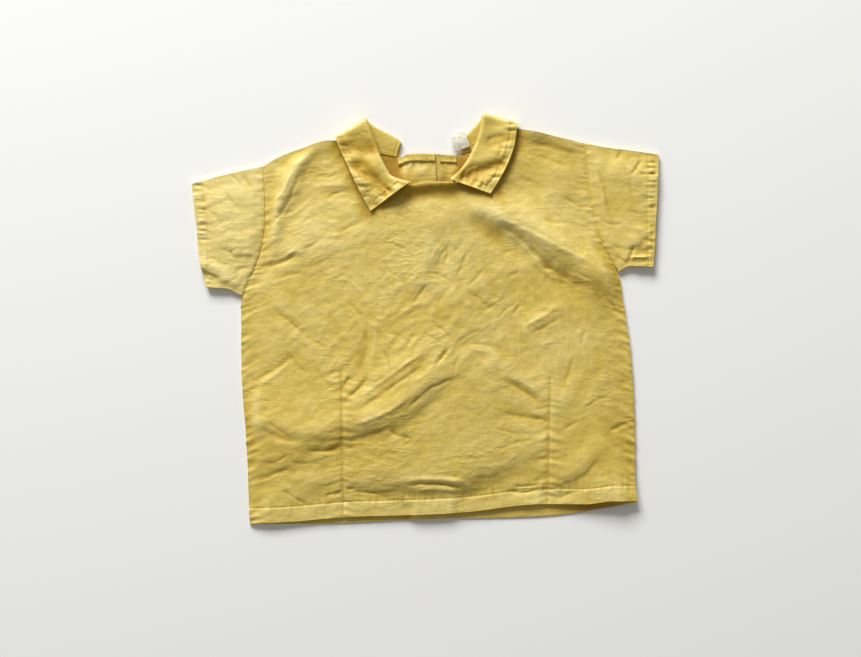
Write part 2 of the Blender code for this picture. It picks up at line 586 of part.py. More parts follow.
def strip_on(grid, x0, x1, y_low, y_high, columns, rows):
    """A strip of a panel's own lower face by its top edge, from x0 to x1. The depths are from that edge."""
    edge = grid[-1]
    at = np.interp(np.linspace(x0, x1, columns + 1), edge[:, 0], np.arange(len(edge)))
    at = np.union1d(at, np.arange(np.ceil(at[0]), at[-1]))
    low = np.clip(np.floor(at).astype(int), 0, len(edge) - 2)
    part = (at - low)[None, :, None]
    columns_of_grid = grid[:, low] * (1 - part) + grid[:, low + 1] * part
    top, below = columns_of_grid[-1], columns_of_grid[-2]
    reach = np.linalg.norm((top - below)[:, :2], axis=1)[None, :, None]
    depth = np.linspace(y_low, y_high, rows + 1)[:, None, None]
    return top[None] + (top - below)[None] * depth / reach


def make_front_binding(front):
    """The bound neck edge that shows between the collar's front ends, under the front's edge."""
    strip = strip_on(front, -10.5, 18.5, -FRONT_BINDING_WIDTH, 1.4, 4, 3)
    under = strip[..., 2] - GAP - BINDING_WALL
    put_sheet("neck_binding_front", strip[..., 0], strip[..., 1], under, BINDING_WALL, MUSTARD_DEEP)


def make_back_bindings(back_left, back_right):
    """The bound back neck, a strip on each back's inner face."""
    spans = (("neck_binding_back_left", -20.5, 7.2, back_left), ("neck_binding_back_right", 11.6, 25.5, back_right))
    for name, x0, x1, grid in spans:
        strip = strip_on(grid, x0, x1, -BACK_BINDING_WIDTH, -0.3, 4, 3)
        put_sheet(name, strip[..., 0], strip[..., 1], strip[..., 2] + WALL + LAY_GAP, BINDING_WALL, MUSTARD)


def make_label():
    """A blank tape folded into the back neck seam, leaning to the left."""
    lean = radians(-20)
    along = np.linspace(0.0, 14.0, 5)[:, None]
    across = np.linspace(-6.5, 6.5, 5)[None, :]
    x = 30.5 + across * cos(lean) + along * sin(lean)
    y = 139.4 - across * sin(lean) + along * cos(lean)
    z = 3.5 + 0.9 * np.sin(along / 14.0 * pi) + 0.02 * across
    put_sheet("neck_label", x, y, z + 0 * x, LABEL_WALL, TAPE_WHITE)


def make_button(name, x, y):
    """A dished round button, outer face on the floor."""
    profile = (
        (0.0, BUTTON_DISH), (BUTTON_RADIUS * 0.62, BUTTON_DISH), (BUTTON_RADIUS * 0.78, 0.0),
        (BUTTON_RADIUS * 0.92, 0.0), (BUTTON_RADIUS, BUTTON_THICK * 0.4), (BUTTON_RADIUS * 0.9, BUTTON_THICK),
        (0.0, BUTTON_THICK),
    )
    turns = [2 * pi * i / BUTTON_SIDES for i in range(BUTTON_SIDES)]
    points = [(x, y, profile[0][1]), (x, y, profile[-1][1])]
    for radius, height in profile[1:-1]:
        points += [(x + radius * cos(t), y + radius * sin(t), height) for t in turns]
    rings = len(profile) - 2
    faces = []
    for i in range(BUTTON_SIDES):
        j = (i + 1) % BUTTON_SIDES
        faces.append([0, 2 + j, 2 + i])
        for ring in range(rings - 1):
            a, b = 2 + ring * BUTTON_SIDES, 2 + (ring + 1) * BUTTON_SIDES
            faces.append([a + i, a + j, b + j, b + i])
        last = 2 + (rings - 1) * BUTTON_SIDES
        faces.append([1, last + i, last + j])
    put_mesh(name, points, faces, BUTTON_CREAM, 0.4)


def centre_on_floor():
    """Move every piece so that the blouse's box stands centred on the origin."""
    pieces = [piece for piece in bpy.context.collection.objects if piece.type == "MESH"]
    corners = np.array([v.co for piece in pieces for v in piece.data.vertices])
    low, high = corners.min(axis=0), corners.max(axis=0)
    shift = -np.array([(low[0] + high[0]) / 2, (low[1] + high[1]) / 2, low[2]])
    for piece in pieces:
        for vertex in piece.data.vertices:
            vertex.co = vertex.co + type(vertex.co)(shift)


def main():
    for piece in list(bpy.data.objects):
        bpy.data.objects.remove(piece)
    front = make_front()
    back_left, back_right = make_backs()
    make_sleeve("sleeve_left", SLEEVE_LEFT_LOWER, SLEEVE_LEFT_UPPER, SLEEVE_LEFT_ARM, SLEEVE_LEFT_CUFF, SLEEVE_LEFT_FOLDS)
    make_sleeve("sleeve_right", SLEEVE_RIGHT_LOWER, SLEEVE_RIGHT_UPPER, SLEEVE_RIGHT_ARM, SLEEVE_RIGHT_CUFF, SLEEVE_RIGHT_FOLDS)
    make_collar("collar_left", COLLAR_LEFT)
    make_collar("collar_right", COLLAR_RIGHT)
    make_front_binding(front)
    make_back_bindings(back_left, back_right)
    make_label()
    for i, (x, y) in enumerate(button_centres()):
        make_button(f"button_{i + 1}", x, y)
    centre_on_floor()


main()
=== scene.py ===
"""Looks of the baby blouse, laid flat on a pale floor and seen from straight above.

Lengths are in millimetres of the blouse's own frame, and the meshes are written in metres. +X runs
to the viewer's right, +Y towards the neck and +Z up. Left and right are the viewer's. Each piece is
a thin shell on its solid's form, with the creases of the cloth laid on it.
"""

from collections import namedtuple
from math import cos, pi, radians, sin

import bmesh
import bpy
import numpy as np
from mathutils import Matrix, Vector


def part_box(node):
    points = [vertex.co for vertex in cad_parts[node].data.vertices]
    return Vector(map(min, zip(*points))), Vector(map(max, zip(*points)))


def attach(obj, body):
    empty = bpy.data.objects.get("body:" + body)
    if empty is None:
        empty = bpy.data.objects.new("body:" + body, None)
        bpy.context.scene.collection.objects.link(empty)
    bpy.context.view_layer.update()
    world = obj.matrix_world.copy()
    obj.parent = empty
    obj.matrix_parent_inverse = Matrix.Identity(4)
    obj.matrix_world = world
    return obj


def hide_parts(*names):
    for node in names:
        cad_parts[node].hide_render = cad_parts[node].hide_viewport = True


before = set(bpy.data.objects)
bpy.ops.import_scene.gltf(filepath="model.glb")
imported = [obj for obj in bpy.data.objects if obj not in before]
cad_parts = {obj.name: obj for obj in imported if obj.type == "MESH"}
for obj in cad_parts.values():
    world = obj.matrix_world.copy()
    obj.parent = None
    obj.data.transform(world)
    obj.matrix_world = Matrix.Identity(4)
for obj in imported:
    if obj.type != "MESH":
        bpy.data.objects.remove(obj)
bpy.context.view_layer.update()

MM = 0.001

# Sizes that the solids have too.
WALL = 1.2              # front and backs
GAP = 0.3               # between pieces that touch
LAY_GAP = 0.45          # between layers that lie on each other
COLLAR_WALL = 1.1
LOFT = 2.4              # how high the front stands between its seams
LOFT_REACH = 34.0       # how far from a seam it takes to rise so
SEAM_FLAT = 12.0        # how far from a seam the folds die out
SLEEVE_LENGTH = 58.0
SLEEVE_LOFT = 2.0
SLEEVE_REACH = 22.0
BUTTON_RADIUS = 5.4
BUTTON_THICK = 1.9
BUTTON_COUNT = 5
PLACKET_OVERLAP = 12.0  # how far each back passes the line of the buttons
PLACKET_GAP = 0.6
PLACKET_RAMP = 9.0      # how far the upper back takes to climb on the lower one
HILL_LEVEL = 19.0       # half width of the front's level stretch over the placket
HILL_RUN = 60.0         # how far it takes to come down from it
BUTTON_MARGIN = 7.0     # how far past a button the cloth over it stays level, and then comes down
BUTTON_RAMP = 11.0
FALL_MARGIN = 8.5       # the same past a collar leaf
FALL_RAMP = 10.0
BINDING_WALL = 1.0
FRONT_BINDING_WIDTH = 5.0
BACK_BINDING_WIDTH = 6.0
STAND_STEPS = 4         # steps of a collar leaf from its seam to its roll
FALL_STEPS = 28         # and from its roll to its outer edge
ROLL_STEPS = 8
ROLL_RADIUS_FRONT = 1.9
ROLL_RADIUS_BACK = 1.3
ROLL_RISE = 1.6

# Fine grids of the shells.
FRONT_COLUMNS = 282
FRONT_ROWS = 291
INNER_STEP = 3          # the front's inner face has one column and row to this many of the outer face
BACK_COLUMNS = 60
BACK_ROWS = 120
SLEEVE_COLUMNS = 90
SLEEVE_ROWS = 54
COLLAR_STATIONS = 110

CRUMPLE_DEPTH = 1.05    # how strong the fine crumpling is
SLOPE_SHIFT = 0.7       # how far below its shaded slope a fold's own line lies, in widths
CREASE_DEPTH = 1.25     # how strong the placed creases are
CREASE_WIDTH = 0.8      # how wide the placed creases are, against their table
CREASE_ENDS = 0.28      # the share of a crease over which it rises at each end
SWELL_ENDS = 0.22       # the same for a swell
FOLD_SHARE = 0.45       # how much of the solid's folds stays under the swells and creases
HEM = 12.0              # depth of the turned hem
HEM_LIFT = 0.4          # how much the hem stands off the back hem near its middle
HEM_PLY = 0.34          # how much the turned layer raises it
COLLAR_STITCH = 5.4     # how far in from a leaf's edge its stitches run

# The room, in metres: a soft window light beyond the neck, and a camera straight overhead.
ROOM_COLOUR = (1.0, 0.955, 0.86, 1.0)
ROOM_STRENGTH = 0.28
WINDOW_COLOUR = (1.0, 0.99, 0.96)
WINDOW_SIZE = (1.95, 1.35)
WINDOW_ENERGY = 194.0
WINDOW_PLACE = (-0.99, 3.03, 1.725)
CAMERA_PLACE = (0.0041, -0.0082, 1.3)
LENS = 65.95
SENSOR = 36.0

Fold = namedtuple("Fold", "x0 y0 x1 y1 bend width height")
Lift = namedtuple("Lift", "x y reach height")
Section = namedtuple("Section", "seam_x seam_y roll_x roll_y edge_x edge_y turn")

# Outlines. Side rows are (y, x), hem and top rows are (x, y).
SIDE_LEFT = (
    (-168.5, -144.7), (-131, -146.0), (-92, -148.0), (-62, -150.4), (-43, -151.3), (0, -151.6),
    (15, -151.0), (28, -146.6), (50, -137.6), (65, -133.9), (90, -132.2), (125, -133.7),
)
SIDE_RIGHT = (
    (-149.6, 174.0), (-142, 172.8), (-115, 172.2), (-87, 172.0), (-62, 171.0), (-18, 167.5), (2, 164.4),
    (22, 161.2), (31, 160.2), (36, 158.6), (40, 156.9), (50, 151.6), (62, 144.8), (80, 138.9), (100, 134.7),
    (125, 132.6), (144, 130.8),
)
HEM_FRONT = (
    (-144.7, -168.5), (-110, -166.9), (-66, -163.2), (-20, -161.7), (30, -159.3), (97, -152.4),
    (130, -152.4), (155, -149.6), (174, -149.6),
)
HEM_BACK = (
    (-144.7, -169.0), (-100, -168.9), (-60, -167.7), (0, -164.8), (50, -163.9), (100, -162.0),
    (125, -159.4), (150, -155.4), (174, -150.4),
)
TOP_FRONT = (
    (-133.7, 125.0), (-120, 133.0), (-100, 140.3), (-80, 146.0), (-73, 146.0), (-62, 149.4),
    (-55.3, 151.0), (-51.9, 143.4), (-46.9, 132.4), (-38.9, 120.1), (-28.6, 111.4), (-15, 108.6),
    (5, 111.0), (22, 110.6), (31, 113.6), (41, 123.1), (48, 134.5), (52, 146.6), (55.2, 155.4),
    (64, 157.4), (75, 155.6), (90, 153.6), (110, 148.8), (130.8, 144.0),
)
TOP_BACK = (
    (-133.7, 125.0), (-120, 133.0), (-100, 140.3), (-80, 146.0), (-73, 146.0), (-62, 149.4),
    (-55.6, 150.6), (-48.8, 139.8), (-40.4, 135.0), (-31, 133.2), (-24, 131.8), (-15, 134.8),
    (0, 135.4), (12, 135.2), (20, 134.6), (29, 134.3), (36, 135.9), (43.5, 138.3), (51.2, 144.4),
    (55.2, 155.0), (64, 157.4), (75, 155.6), (90, 153.6), (110, 148.8), (130.8, 144.0),
)
# The line of the buttons, as (y, x). It leans a little, as the laid blouse does.
BUTTON_LINE = ((-166.0, 6.0), (136.0, -4.0))
BUTTON_TOP_Y = 121.0
BUTTON_PITCH = 58.0

# Sleeves: lower and upper edges as (x, y) from the armhole out, cuff as (y, x).
SLEEVE_LEFT_LOWER = ((-150.6, 19.0), (-156, 21.6), (-162, 24.4), (-171, 25.2), (-180.2, 26.0))
SLEEVE_LEFT_UPPER = ((-134.4, 125.0), (-150, 121.6), (-165, 118.2), (-180, 114.2), (-192.2, 110.6))
SLEEVE_LEFT_CUFF = ((26, -180.2), (41, -184), (56, -186.5), (78, -188.2), (95, -190.6), (110.6, -192.2))
SLEEVE_LEFT_ARM = ((19, -150.6), (28, -147.3), (50, -138.3), (65, -134.6), (90, -132.9), (125, -134.4))
SLEEVE_RIGHT_LOWER = ((158.6, 38.4), (161.4, 40.4), (166, 42.8), (175, 43.0), (187.2, 42.6))
SLEEVE_RIGHT_UPPER = ((131.5, 144.0), (140, 142.2), (155, 139.8), (170, 138.0), (191.6, 134.8))
SLEEVE_RIGHT_CUFF = ((42.6, 187.2), (58, 188.2), (80, 189.2), (105, 190.6), (134.8, 191.6))
SLEEVE_RIGHT_ARM = (
    (38.4, 158.6), (42, 157.0), (50, 152.5), (62, 145.5), (80, 139.6), (100, 135.4), (125, 133.3),
    (144, 131.5),
)

# Collar leaves, a row for each section from the front end round the shoulder to the back end.
# turn is 90 where the leaf lies on the front, 0 on the shoulder fold and -90 under the back.
COLLAR_LEFT = (
    Section(-15.0, 109.4, -12.6, 111.4, -45.0, 88.0, 90),
    Section(-28.0, 112.4, -26.0, 115.4, -50.5, 98.0, 90),
    Section(-38.0, 121.0, -31.5, 121.5, -57.5, 112.0, 90),
    Section(-46.0, 133.0, -37.6, 134.0, -65.0, 128.0, 90),
    Section(-51.0, 144.0, -44.0, 150.5, -70.5, 139.5, 90),
    Section(-53.6, 151.0, -49.2, 164.2, -74.0, 147.8, 45),
    Section(-54.0, 152.4, -49.6, 165.0, -74.5, 148.6, 0),
    Section(-53.4, 151.2, -49.0, 164.2, -73.6, 147.6, -45),
    Section(-47.4, 142.0, -46.0, 160.4, -67.5, 133.0, -90),
    Section(-40.0, 137.0, -39.5, 156.0, -57.5, 120.0, -90),
    Section(-31.0, 134.7, -29.8, 151.2, -42.0, 113.0, -90),
    Section(-24.4, 133.3, -20.4, 145.8, -24.0, 110.0, -90),
)
COLLAR_RIGHT = (
    Section(23.0, 111.6, 20.4, 114.0, 53.0, 102.2, 90),
    Section(31.0, 114.8, 27.2, 120.0, 56.6, 107.4, 90),
    Section(40.0, 124.0, 34.2, 129.2, 62.0, 116.4, 90),
    Section(47.0, 135.4, 39.8, 140.2, 67.2, 126.4, 90),
    Section(51.0, 147.2, 44.0, 151.0, 72.4, 141.0, 90),
    Section(54.0, 155.6, 47.6, 168.2, 75.8, 159.4, 45),
    Section(54.4, 156.8, 48.0, 169.0, 76.5, 160.6, 0),
    Section(53.6, 155.8, 47.4, 168.2, 75.4, 159.2, -45),
    Section(50.0, 146.2, 46.2, 164.6, 71.0, 144.0, -90),
    Section(43.0, 140.2, 40.8, 157.6, 60.0, 130.0, -90),
    Section(36.0, 137.6, 34.6, 151.4, 46.0, 120.0, -90),
    Section(29.0, 135.6, 28.2, 147.6, 31.0, 114.0, -90),
)
# Folds of the front: a ridge has a positive height, a trough a negative one. bend is how far the
# middle of the line lies to its left, seen along it.
FRONT_FOLDS = (
    Fold(40, 88, 88, 58, -4, 9, -2.4),
    Fold(86, 59, 142, 24, -5, 9, -2.6),
    Fold(52, 90, 112, 60, 4, 8, 1.7),
    Fold(96, 70, 158, 34, 7, 9, 2.0),
    Fold(-148, -80, -74, -86, -3, 8, 2.0),
    Fold(-82, -86, 22, -27, -8, 9, 2.3),
    Fold(-144, -84, -72, -98, -4, 6, -1.7),
    Fold(-78, -98, -32, -90, -2, 6, -1.9),
    Fold(-34, -92, 24, -46, -6, 6, -1.8),
    Fold(-66, -66, 2, -20, 3, 6, 1.6),
    Fold(-45, -46, -68, -67, 2, 4, -1.5),
    Fold(-60, -74, 8, -30, -3, 5, -1.3),
    Fold(-100, -106, -66, -106, 3, 5, -1.4),
    Fold(-142, -134, -110, -121, -3, 7, -1.6),
    Fold(-118, -139, -96, -154, -2, 5, -1.2),
    Fold(-92, -136, -50, -138, 3, 6, -1.2),
    Fold(-62, -141, -20, -138, -3, 5, -1.6),
    Fold(-24, -138, 40, -138, -4, 5, -2.2),
    Fold(-30, -126, 42, -127, -4, 9, 1.7),
    Fold(-30, -90, -10, -99, 2, 5, -1.3),
    Fold(-132, -82, -108, -100, 2, 6, -1.2),
    Fold(-130, 12, -74, -28, 4, 6, -1.2),
    Fold(-105, -26, -147, -54, -3, 8, -1.5),
    Fold(-49, 4, -52, -50, -2, 6, -1.2),
    Fold(24, -21, 62, -22, 5, 5, -1.4),
    Fold(20, -24, 8, -40, 2, 6, -1.4),
    Fold(0, -60, 32, -45, 3, 5, -1.4),
    Fold(62, -47, 100, -72, 3, 7, -1.8),
    Fold(60, -76, 106, -84, 3, 6, -1.5),
    Fold(78, -8, 112, 16, 3, 6, 1.4),
    Fold(120, -28, 112, -58, -2, 6, -1.2),
    Fold(146, -92, 170, -84, 2, 6, -1.4),
    Fold(34, -128, 102, -106, -7, 9, -2.0),
    Fold(64, -142, 104, -140, 2, 5, -1.6),
    Fold(98, -142, 146, -106, -5, 8, -2.0),
    Fold(110, -124, 150, -88, -4, 9, 1.5),
    Fold(-99, 130, -132, 72, -6, 9, -1.9),
    Fold(-116, 128, -132, 94, -3, 7, 1.5),
    Fold(-94, 118, -66, 121, 4, 7, -1.2),
    Fold(-82, 101, -58, 107, 2, 6, -1.2),
    Fold(-142, 42, -102, 55, 3, 6, -1.7),
    Fold(-132, 49, -102, 60, 3, 5, 1.4),
    Fold(-100, 57, -86, 66, 1, 5, -1.1),
    Fold(-122, 33, -98, 39, 2, 5, -1.1),
    Fold(-72, 71, -48, 81, 2, 6, -1.1),
    Fold(8, 43, 22, 66, 2, 7, -1.3),
    Fold(-12, 12, 2, 30, 2, 6, -1.0),
    Fold(0, 38, 32, 29, 2, 6, -1.1),
    Fold(112, 102, 138, 91, 2, 7, -1.4),
    Fold(72, 118, 98, 111, 2, 8, -1.0),
    Fold(82, 144, 132, 135, -3, 7, -1.3),
    Fold(160, 2, 166, -12, 1, 5, -1.2),
)
DART_LEFT = Fold(-69, -40, -68, -158, 0, 3.5, -1.0)
DART_RIGHT = Fold(101.5, -42, 100, -150, 0, 3.5, -1.0)
SLEEVE_LEFT_FOLDS = (
    Fold(-157, 49, -141, 52, 2, 5, -1.2),
    Fold(-156, 41, -141, 42, 2, 4, -1.0),
    Fold(-186, 41, -168, 32, 2, 6, -1.4),
    Fold(-149, 20, -137, 35, 2, 5, -1.2),
    Fold(-151, 120, -142, 106, 2, 5, -1.1),
    Fold(-175, 100, -150, 62, 6, 12, 1.0),
)
SLEEVE_RIGHT_FOLDS = (
    Fold(140, 128, 156, 70, 5, 8, -1.3),
    Fold(166, 128, 172, 66, -3, 10, 1.0),
    Fold(150, 62, 186, 56, 3, 6, -1.2),
    Fold(146, 98, 160, 88, 2, 6, -1.0),
)
# Places where the cloth stands off what is under it. The hem's right corner is kicked up.
FRONT_LIFTS = (
    Lift(160, -150, 34, 4.2),
    Lift(-138, -168, 26, 1.6),
    Lift(-60, -60, 70, 0.9),
    Lift(80, -90, 60, 1.2),
    Lift(4, 110, 27, 2.0),
)
BACK_LIFTS = (Lift(178, -154, 26, 4.4),)


def smooth(rows, at):
    """A smooth curve through (key, value) rows, read at the keys in the array at."""
    keys = np.array([row[0] for row in rows], dtype=float)
    values = np.array([row[1] for row in rows], dtype=float)
    steps = np.diff(keys)
    slopes = np.diff(values) / steps
    tangents = np.empty_like(values)
    tangents[0], tangents[-1] = slopes[0], slopes[-1]
    flat = slopes[:-1] * slopes[1:] <= 0
    weights = steps[1:] / (steps[:-1] + steps[1:])
    tangents[1:-1] = np.where(flat, 0.0, weights * slopes[:-1] + (1 - weights) * slopes[1:])
    at = np.clip(np.asarray(at, dtype=float), keys[0], keys[-1])
    i = np.clip(np.searchsorted(keys, at, side="right") - 1, 0, len(steps) - 1)
    t = (at - keys[i]) / steps[i]
    rise = (2 * t**3 - 3 * t**2 + 1) * values[i] + (3 * t**2 - 2 * t**3) * values[i + 1]
    lean = (t**3 - 2 * t**2 + t) * tangents[i] + (t**3 - t**2) * tangents[i + 1]
    return rise + steps[i] * lean


def ease(x):
    """0 below 0, 1 above 1, and smooth between."""
    x = np.clip(x, 0.0, 1.0)
    return x * x * (3 - 2 * x)


def ridge(away, reach):
    """A soft ridge along a line that is away from here: 1 on the line, and hardly there past twice reach."""
    return np.exp(-((away / reach) ** 2))


def patch(x, y, middle_x, middle_y, wide, high):
    """A soft round patch: 1 in its middle."""
    return ridge(np.hypot((x - middle_x) / wide, (y - middle_y) / high), 1.0)


def shaded(patches, x, y):
    """The sum of soft patches, each its middle's x and y, its reach across and up, and its strength."""
    return sum(strength * patch(x, y, *place) for *place, strength in patches)


def fold_height(folds, x, y):
    """The summed height of the folds at x, y."""
    total = np.zeros_like(x)
    above = y
    for fold in folds:
        y = above + SLOPE_SHIFT * fold.width
        dx, dy = fold.x1 - fold.x0, fold.y1 - fold.y0
        length = np.hypot(dx, dy)
        along = ((x - fold.x0) * dx + (y - fold.y0) * dy) / length**2
        across = ((y - fold.y0) * dx - (x - fold.x0) * dy) / length
        across = across - fold.bend * 4 * np.clip(along, 0, 1) * (1 - np.clip(along, 0, 1))
        ends = ease(along / 0.3 + 0.35) * ease((1 - along) / 0.3 + 0.35)
        total = total + fold.height * ridge(across, fold.width) * ends
    return total


def lift_height(lifts, x, y):
    """The summed height of round lifts at x, y."""
    return sum(lift.height * patch(x, y, lift.x, lift.y, lift.reach, lift.reach) for lift in lifts)


def rise_above(height):
    """A height kept above nothing: it tends to 0 below and to itself above."""
    return 0.5 * (height + np.sqrt(height**2 + 0.25)) - 0.05


def button_x(y):
    (y0, x0), (y1, x1) = BUTTON_LINE
    return x0 + (x1 - x0) * (y - y0) / (y1 - y0)


def button_centres():
    """Button centres from the neck down, as (x, y)."""
    ys = [BUTTON_TOP_Y - BUTTON_PITCH * i for i in range(BUTTON_COUNT)]
    return [(button_x(y), y) for y in ys]


def polygon_distance(corners, x, y):
    """Distance from each x, y to a closed outline, 0 inside it."""
    best = np.full(x.shape, np.inf)
    inside = np.zeros(x.shape, dtype=bool)
    for (x0, y0), (x1, y1) in zip(corners, corners[1:] + corners[:1]):
        dx, dy = x1 - x0, y1 - y0
        t = np.clip(((x - x0) * dx + (y - y0) * dy) / (dx * dx + dy * dy), 0, 1)
        best = np.minimum(best, np.hypot(x - x0 - t * dx, y - y0 - t * dy))
        if y0 != y1:
            inside ^= ((y0 > y) != (y1 > y)) & (x < x0 + (y - y0) * dx / dy)
    return np.where(inside, 0.0, best)


def back_fall_outline(sections):
    """What a collar leaf covers of the floor: its roll and its outer edge behind the shoulder."""
    behind = [s for s in sections if s.turn < 60]
    return [(s.roll_x, s.roll_y) for s in behind] + [(s.edge_x, s.edge_y) for s in reversed(behind)]


def from_falls(x, y):
    """Distance from x, y to the nearer collar leaf behind the shoulder, 0 over it."""
    left, right = (polygon_distance(back_fall_outline(leaf), x, y) for leaf in (COLLAR_LEFT, COLLAR_RIGHT))
    return np.minimum(left, right)


def under_back(x, y):
    """Height that the collar falls and the buttons give whatever lies on them."""
    lifted = (COLLAR_WALL + LAY_GAP) * ease(1 + (FALL_MARGIN - from_falls(x, y)) / FALL_RAMP)
    for bx, by in button_centres():
        near = np.hypot(x - bx, y - by) - BUTTON_RADIUS
        lifted = np.maximum(lifted, (BUTTON_THICK + GAP) * ease(1 + (BUTTON_MARGIN - near) / BUTTON_RAMP))
    return lifted + lift_height(BACK_LIFTS, x, y)


def back_left_floor(x, y):
    """The left back lies on the floor, and climbs on the right back at the placket."""
    step = ease((x - button_x(y) + PLACKET_OVERLAP + PLACKET_RAMP + 1.0) / PLACKET_RAMP)
    return under_back(x, y) + (WALL + PLACKET_GAP) * step


def front_rest(x, y):
    """What the front rests on: the backs' upper face, spread softly over the placket's steps.

    The hill over the placket and its buttons is broad, and narrows to the placket at the hem.
    """
    off_line = np.abs(x - button_x(y))
    last_button = BUTTON_TOP_Y - BUTTON_PITCH * BUTTON_COUNT
    buttons = (BUTTON_THICK + GAP) * ease((y - last_button - 10.0) / 40.0)
    inward = ease((y - smooth(HEM_FRONT, x) - 4.0) / 30.0)
    placket = PLACKET_OVERLAP + 1.0
    level = placket + (HILL_LEVEL - placket) * inward
    run = PLACKET_RAMP + (HILL_RUN - PLACKET_RAMP) * inward
    hill = (WALL + PLACKET_GAP + buttons * inward) * ease(1 - (off_line - level) / run)
    lifted = (COLLAR_WALL + LAY_GAP) * ease(1 + (FALL_MARGIN + 3.0 - from_falls(x, y)) / (2 * FALL_RAMP))
    return WALL + np.maximum(hill, lifted) + lift_height(BACK_LIFTS, x, y)


def front_floor(x, y, near_side, near_top, near_hem):
    """Lower face of the front, from its distances to the seams and the hem."""
    side = ease(near_side / LOFT_REACH)
    top = ease(near_top / LOFT_REACH)
    hem = 0.25 + 0.75 * ease(near_hem / LOFT_REACH)
    folds = FOLD_SHARE * fold_height(FRONT_FOLDS + (DART_LEFT, DART_RIGHT), x, y)
    folds = folds + swell_height(FRONT_SWELLS, x, y, 20)
    seam = ease(near_side / SEAM_FLAT) * ease(near_top / SEAM_FLAT)
    height = LOFT * side * top * hem + folds * seam + lift_height(FRONT_LIFTS, x, y) * ease(near_side / 16.0)
    return front_rest(x, y) + GAP + rise_above(height)


# Broad folds that shade the cloth from a step away. Each is a line along its crest, drawn so that
# its darker side is on the right of it, with how far it reaches on the left of the line and, from
# the line's start to its end, on the right.
Swell = namedtuple("Swell", "left right_start right_end height points")
FRONT_SWELLS = (
    Swell(19, 10, 21, 5.3, (
        (24, 100), (56, 88), (80, 76), (104, 60), (128, 45), (152, 33), (176, 21), (200, 8),
    )),
    Swell(23, 22, 15, 3.3, (
        (-190, -80), (-150, -84), (-120, -87), (-90, -88), (-60, -84), (-38, -77), (-18, -64), (0, -48),
        (18, -30), (32, -12),
    )),
    Swell(8, 9, 8, 4.8, ((-136, 54), (-128, 74), (-120, 94), (-110, 115), (-98, 138), (-92, 156))),
    Swell(9, 26, 26, -1.6, ((-125, 60), (-117, 80), (-108, 99), (-97, 120), (-86, 146))),
    Swell(16, 12, 12, 0.3, ((-20, -124), (20, -120), (50, -116), (80, -108), (110, -98), (134, -90))),
    Swell(14, 14, 14, 1.2, ((40, -32), (64, -44), (84, -56), (104, -66), (130, -68))),
    Swell(26, 18, 20, 1.6, ((-176, 56), (-140, 58), (-110, 64), (-80, 66), (-50, 74), (-28, 78))),
    Swell(10, 10, 10, 0.9, ((-14, 14), (-2, 44), (5, 66), (12, 94))),
    Swell(12, 10, 9, 1.3, ((-176, -120), (-142, -117), (-116, -110), (-92, -104), (-70, -104))),
    Swell(12, 9, 9, 0.8, ((-110, -132), (-84, -134), (-60, -134), (-40, -136))),
    Swell(10, 8, 8, 0.8, ((96, -142), (116, -130), (134, -116), (148, -96))),
    Swell(10, 9, 9, 0.7, ((30, 20), (52, 30), (80, 42), (100, 44))),
    Swell(12, 12, 12, 0.7, ((74, -16), (96, -2), (120, 10), (150, 14))),
)
SLEEVE_LEFT_SWELLS = (
    Swell(9, 7, 8, 2.0, ((-200, 50), (-186, 46), (-174, 40), (-160, 32), (-148, 28))),
    Swell(10, 8, 8, 0.9, ((-180, 66), (-160, 62), (-144, 58), (-132, 56))),
)
SLEEVE_RIGHT_SWELLS = (
    Swell(8, 3.6, 4.2, 1.3, ((164, 34), (166, 46), (170, 56), (175, 66), (184, 76))),
    Swell(12, 14, 14, 1.2, ((146, 126), (160, 122), (176, 116), (196, 114))),
)


def from_line(points, x, y):
    """The distance from a smooth line, more than 0 to the right of it, the run along it and its length."""
    line = curve_through(points)
    run = np.concatenate([[0.0], np.cumsum(np.hypot(*np.diff(line, axis=0).T))])
    best = np.full(x.shape, np.inf)
    where = np.zeros(x.shape)
    for i, ((ax, ay), (bx, by)) in enumerate(zip(line[:-1], line[1:])):
        dx, dy = bx - ax, by - ay
        t = np.clip(((x - ax) * dx + (y - ay) * dy) / (dx * dx + dy * dy), 0, 1)
        gap = np.hypot(x - ax - t * dx, y - ay - t * dy)
        right = np.where((x - ax) * dy - (y - ay) * dx < 0, -gap, gap)
        closer = gap < np.abs(best)
        best = np.where(closer, right, best)
        where = np.where(closer, run[i] + t * (run[i + 1] - run[i]), where)
    return best, where, run[-1]


def swell_height(swells, x, y, seed):
    """The summed height of the broad folds at x, y. Each sways and is uneven along its line."""
    total = np.zeros(np.broadcast(x, y).shape)
    for number, swell in enumerate(swells):
        sway = 2.6 * noise(x, y, 27.0, seed + number) + 1.0 * noise(x, y, 11.0, seed + number + 60)
        gap, where, span = from_line(swell.points, x + sway, y + sway)
        part = where / span
        right = swell.right_start + (swell.right_end - swell.right_start) * part
        ends = ease(part / SWELL_ENDS) * ease((1 - part) / SWELL_ENDS)
        uneven = 1.0 + 0.25 * noise(x, y, 31.0, seed + number + 30)
        total = total + swell.height * uneven * ends * ridge(gap, np.where(gap > 0, right, swell.left))
    return total


# Small creases of the front, each a run of points with its width and height. They are sharper than
# the folds, and lie on and between them.
Crease = namedtuple("Crease", "width height points")


def creases_of(*rows):
    """Creases from rows of width, height, and then the x and y of each point."""
    return tuple(Crease(row[0], row[1], tuple(zip(row[2::2], row[3::2]))) for row in rows)


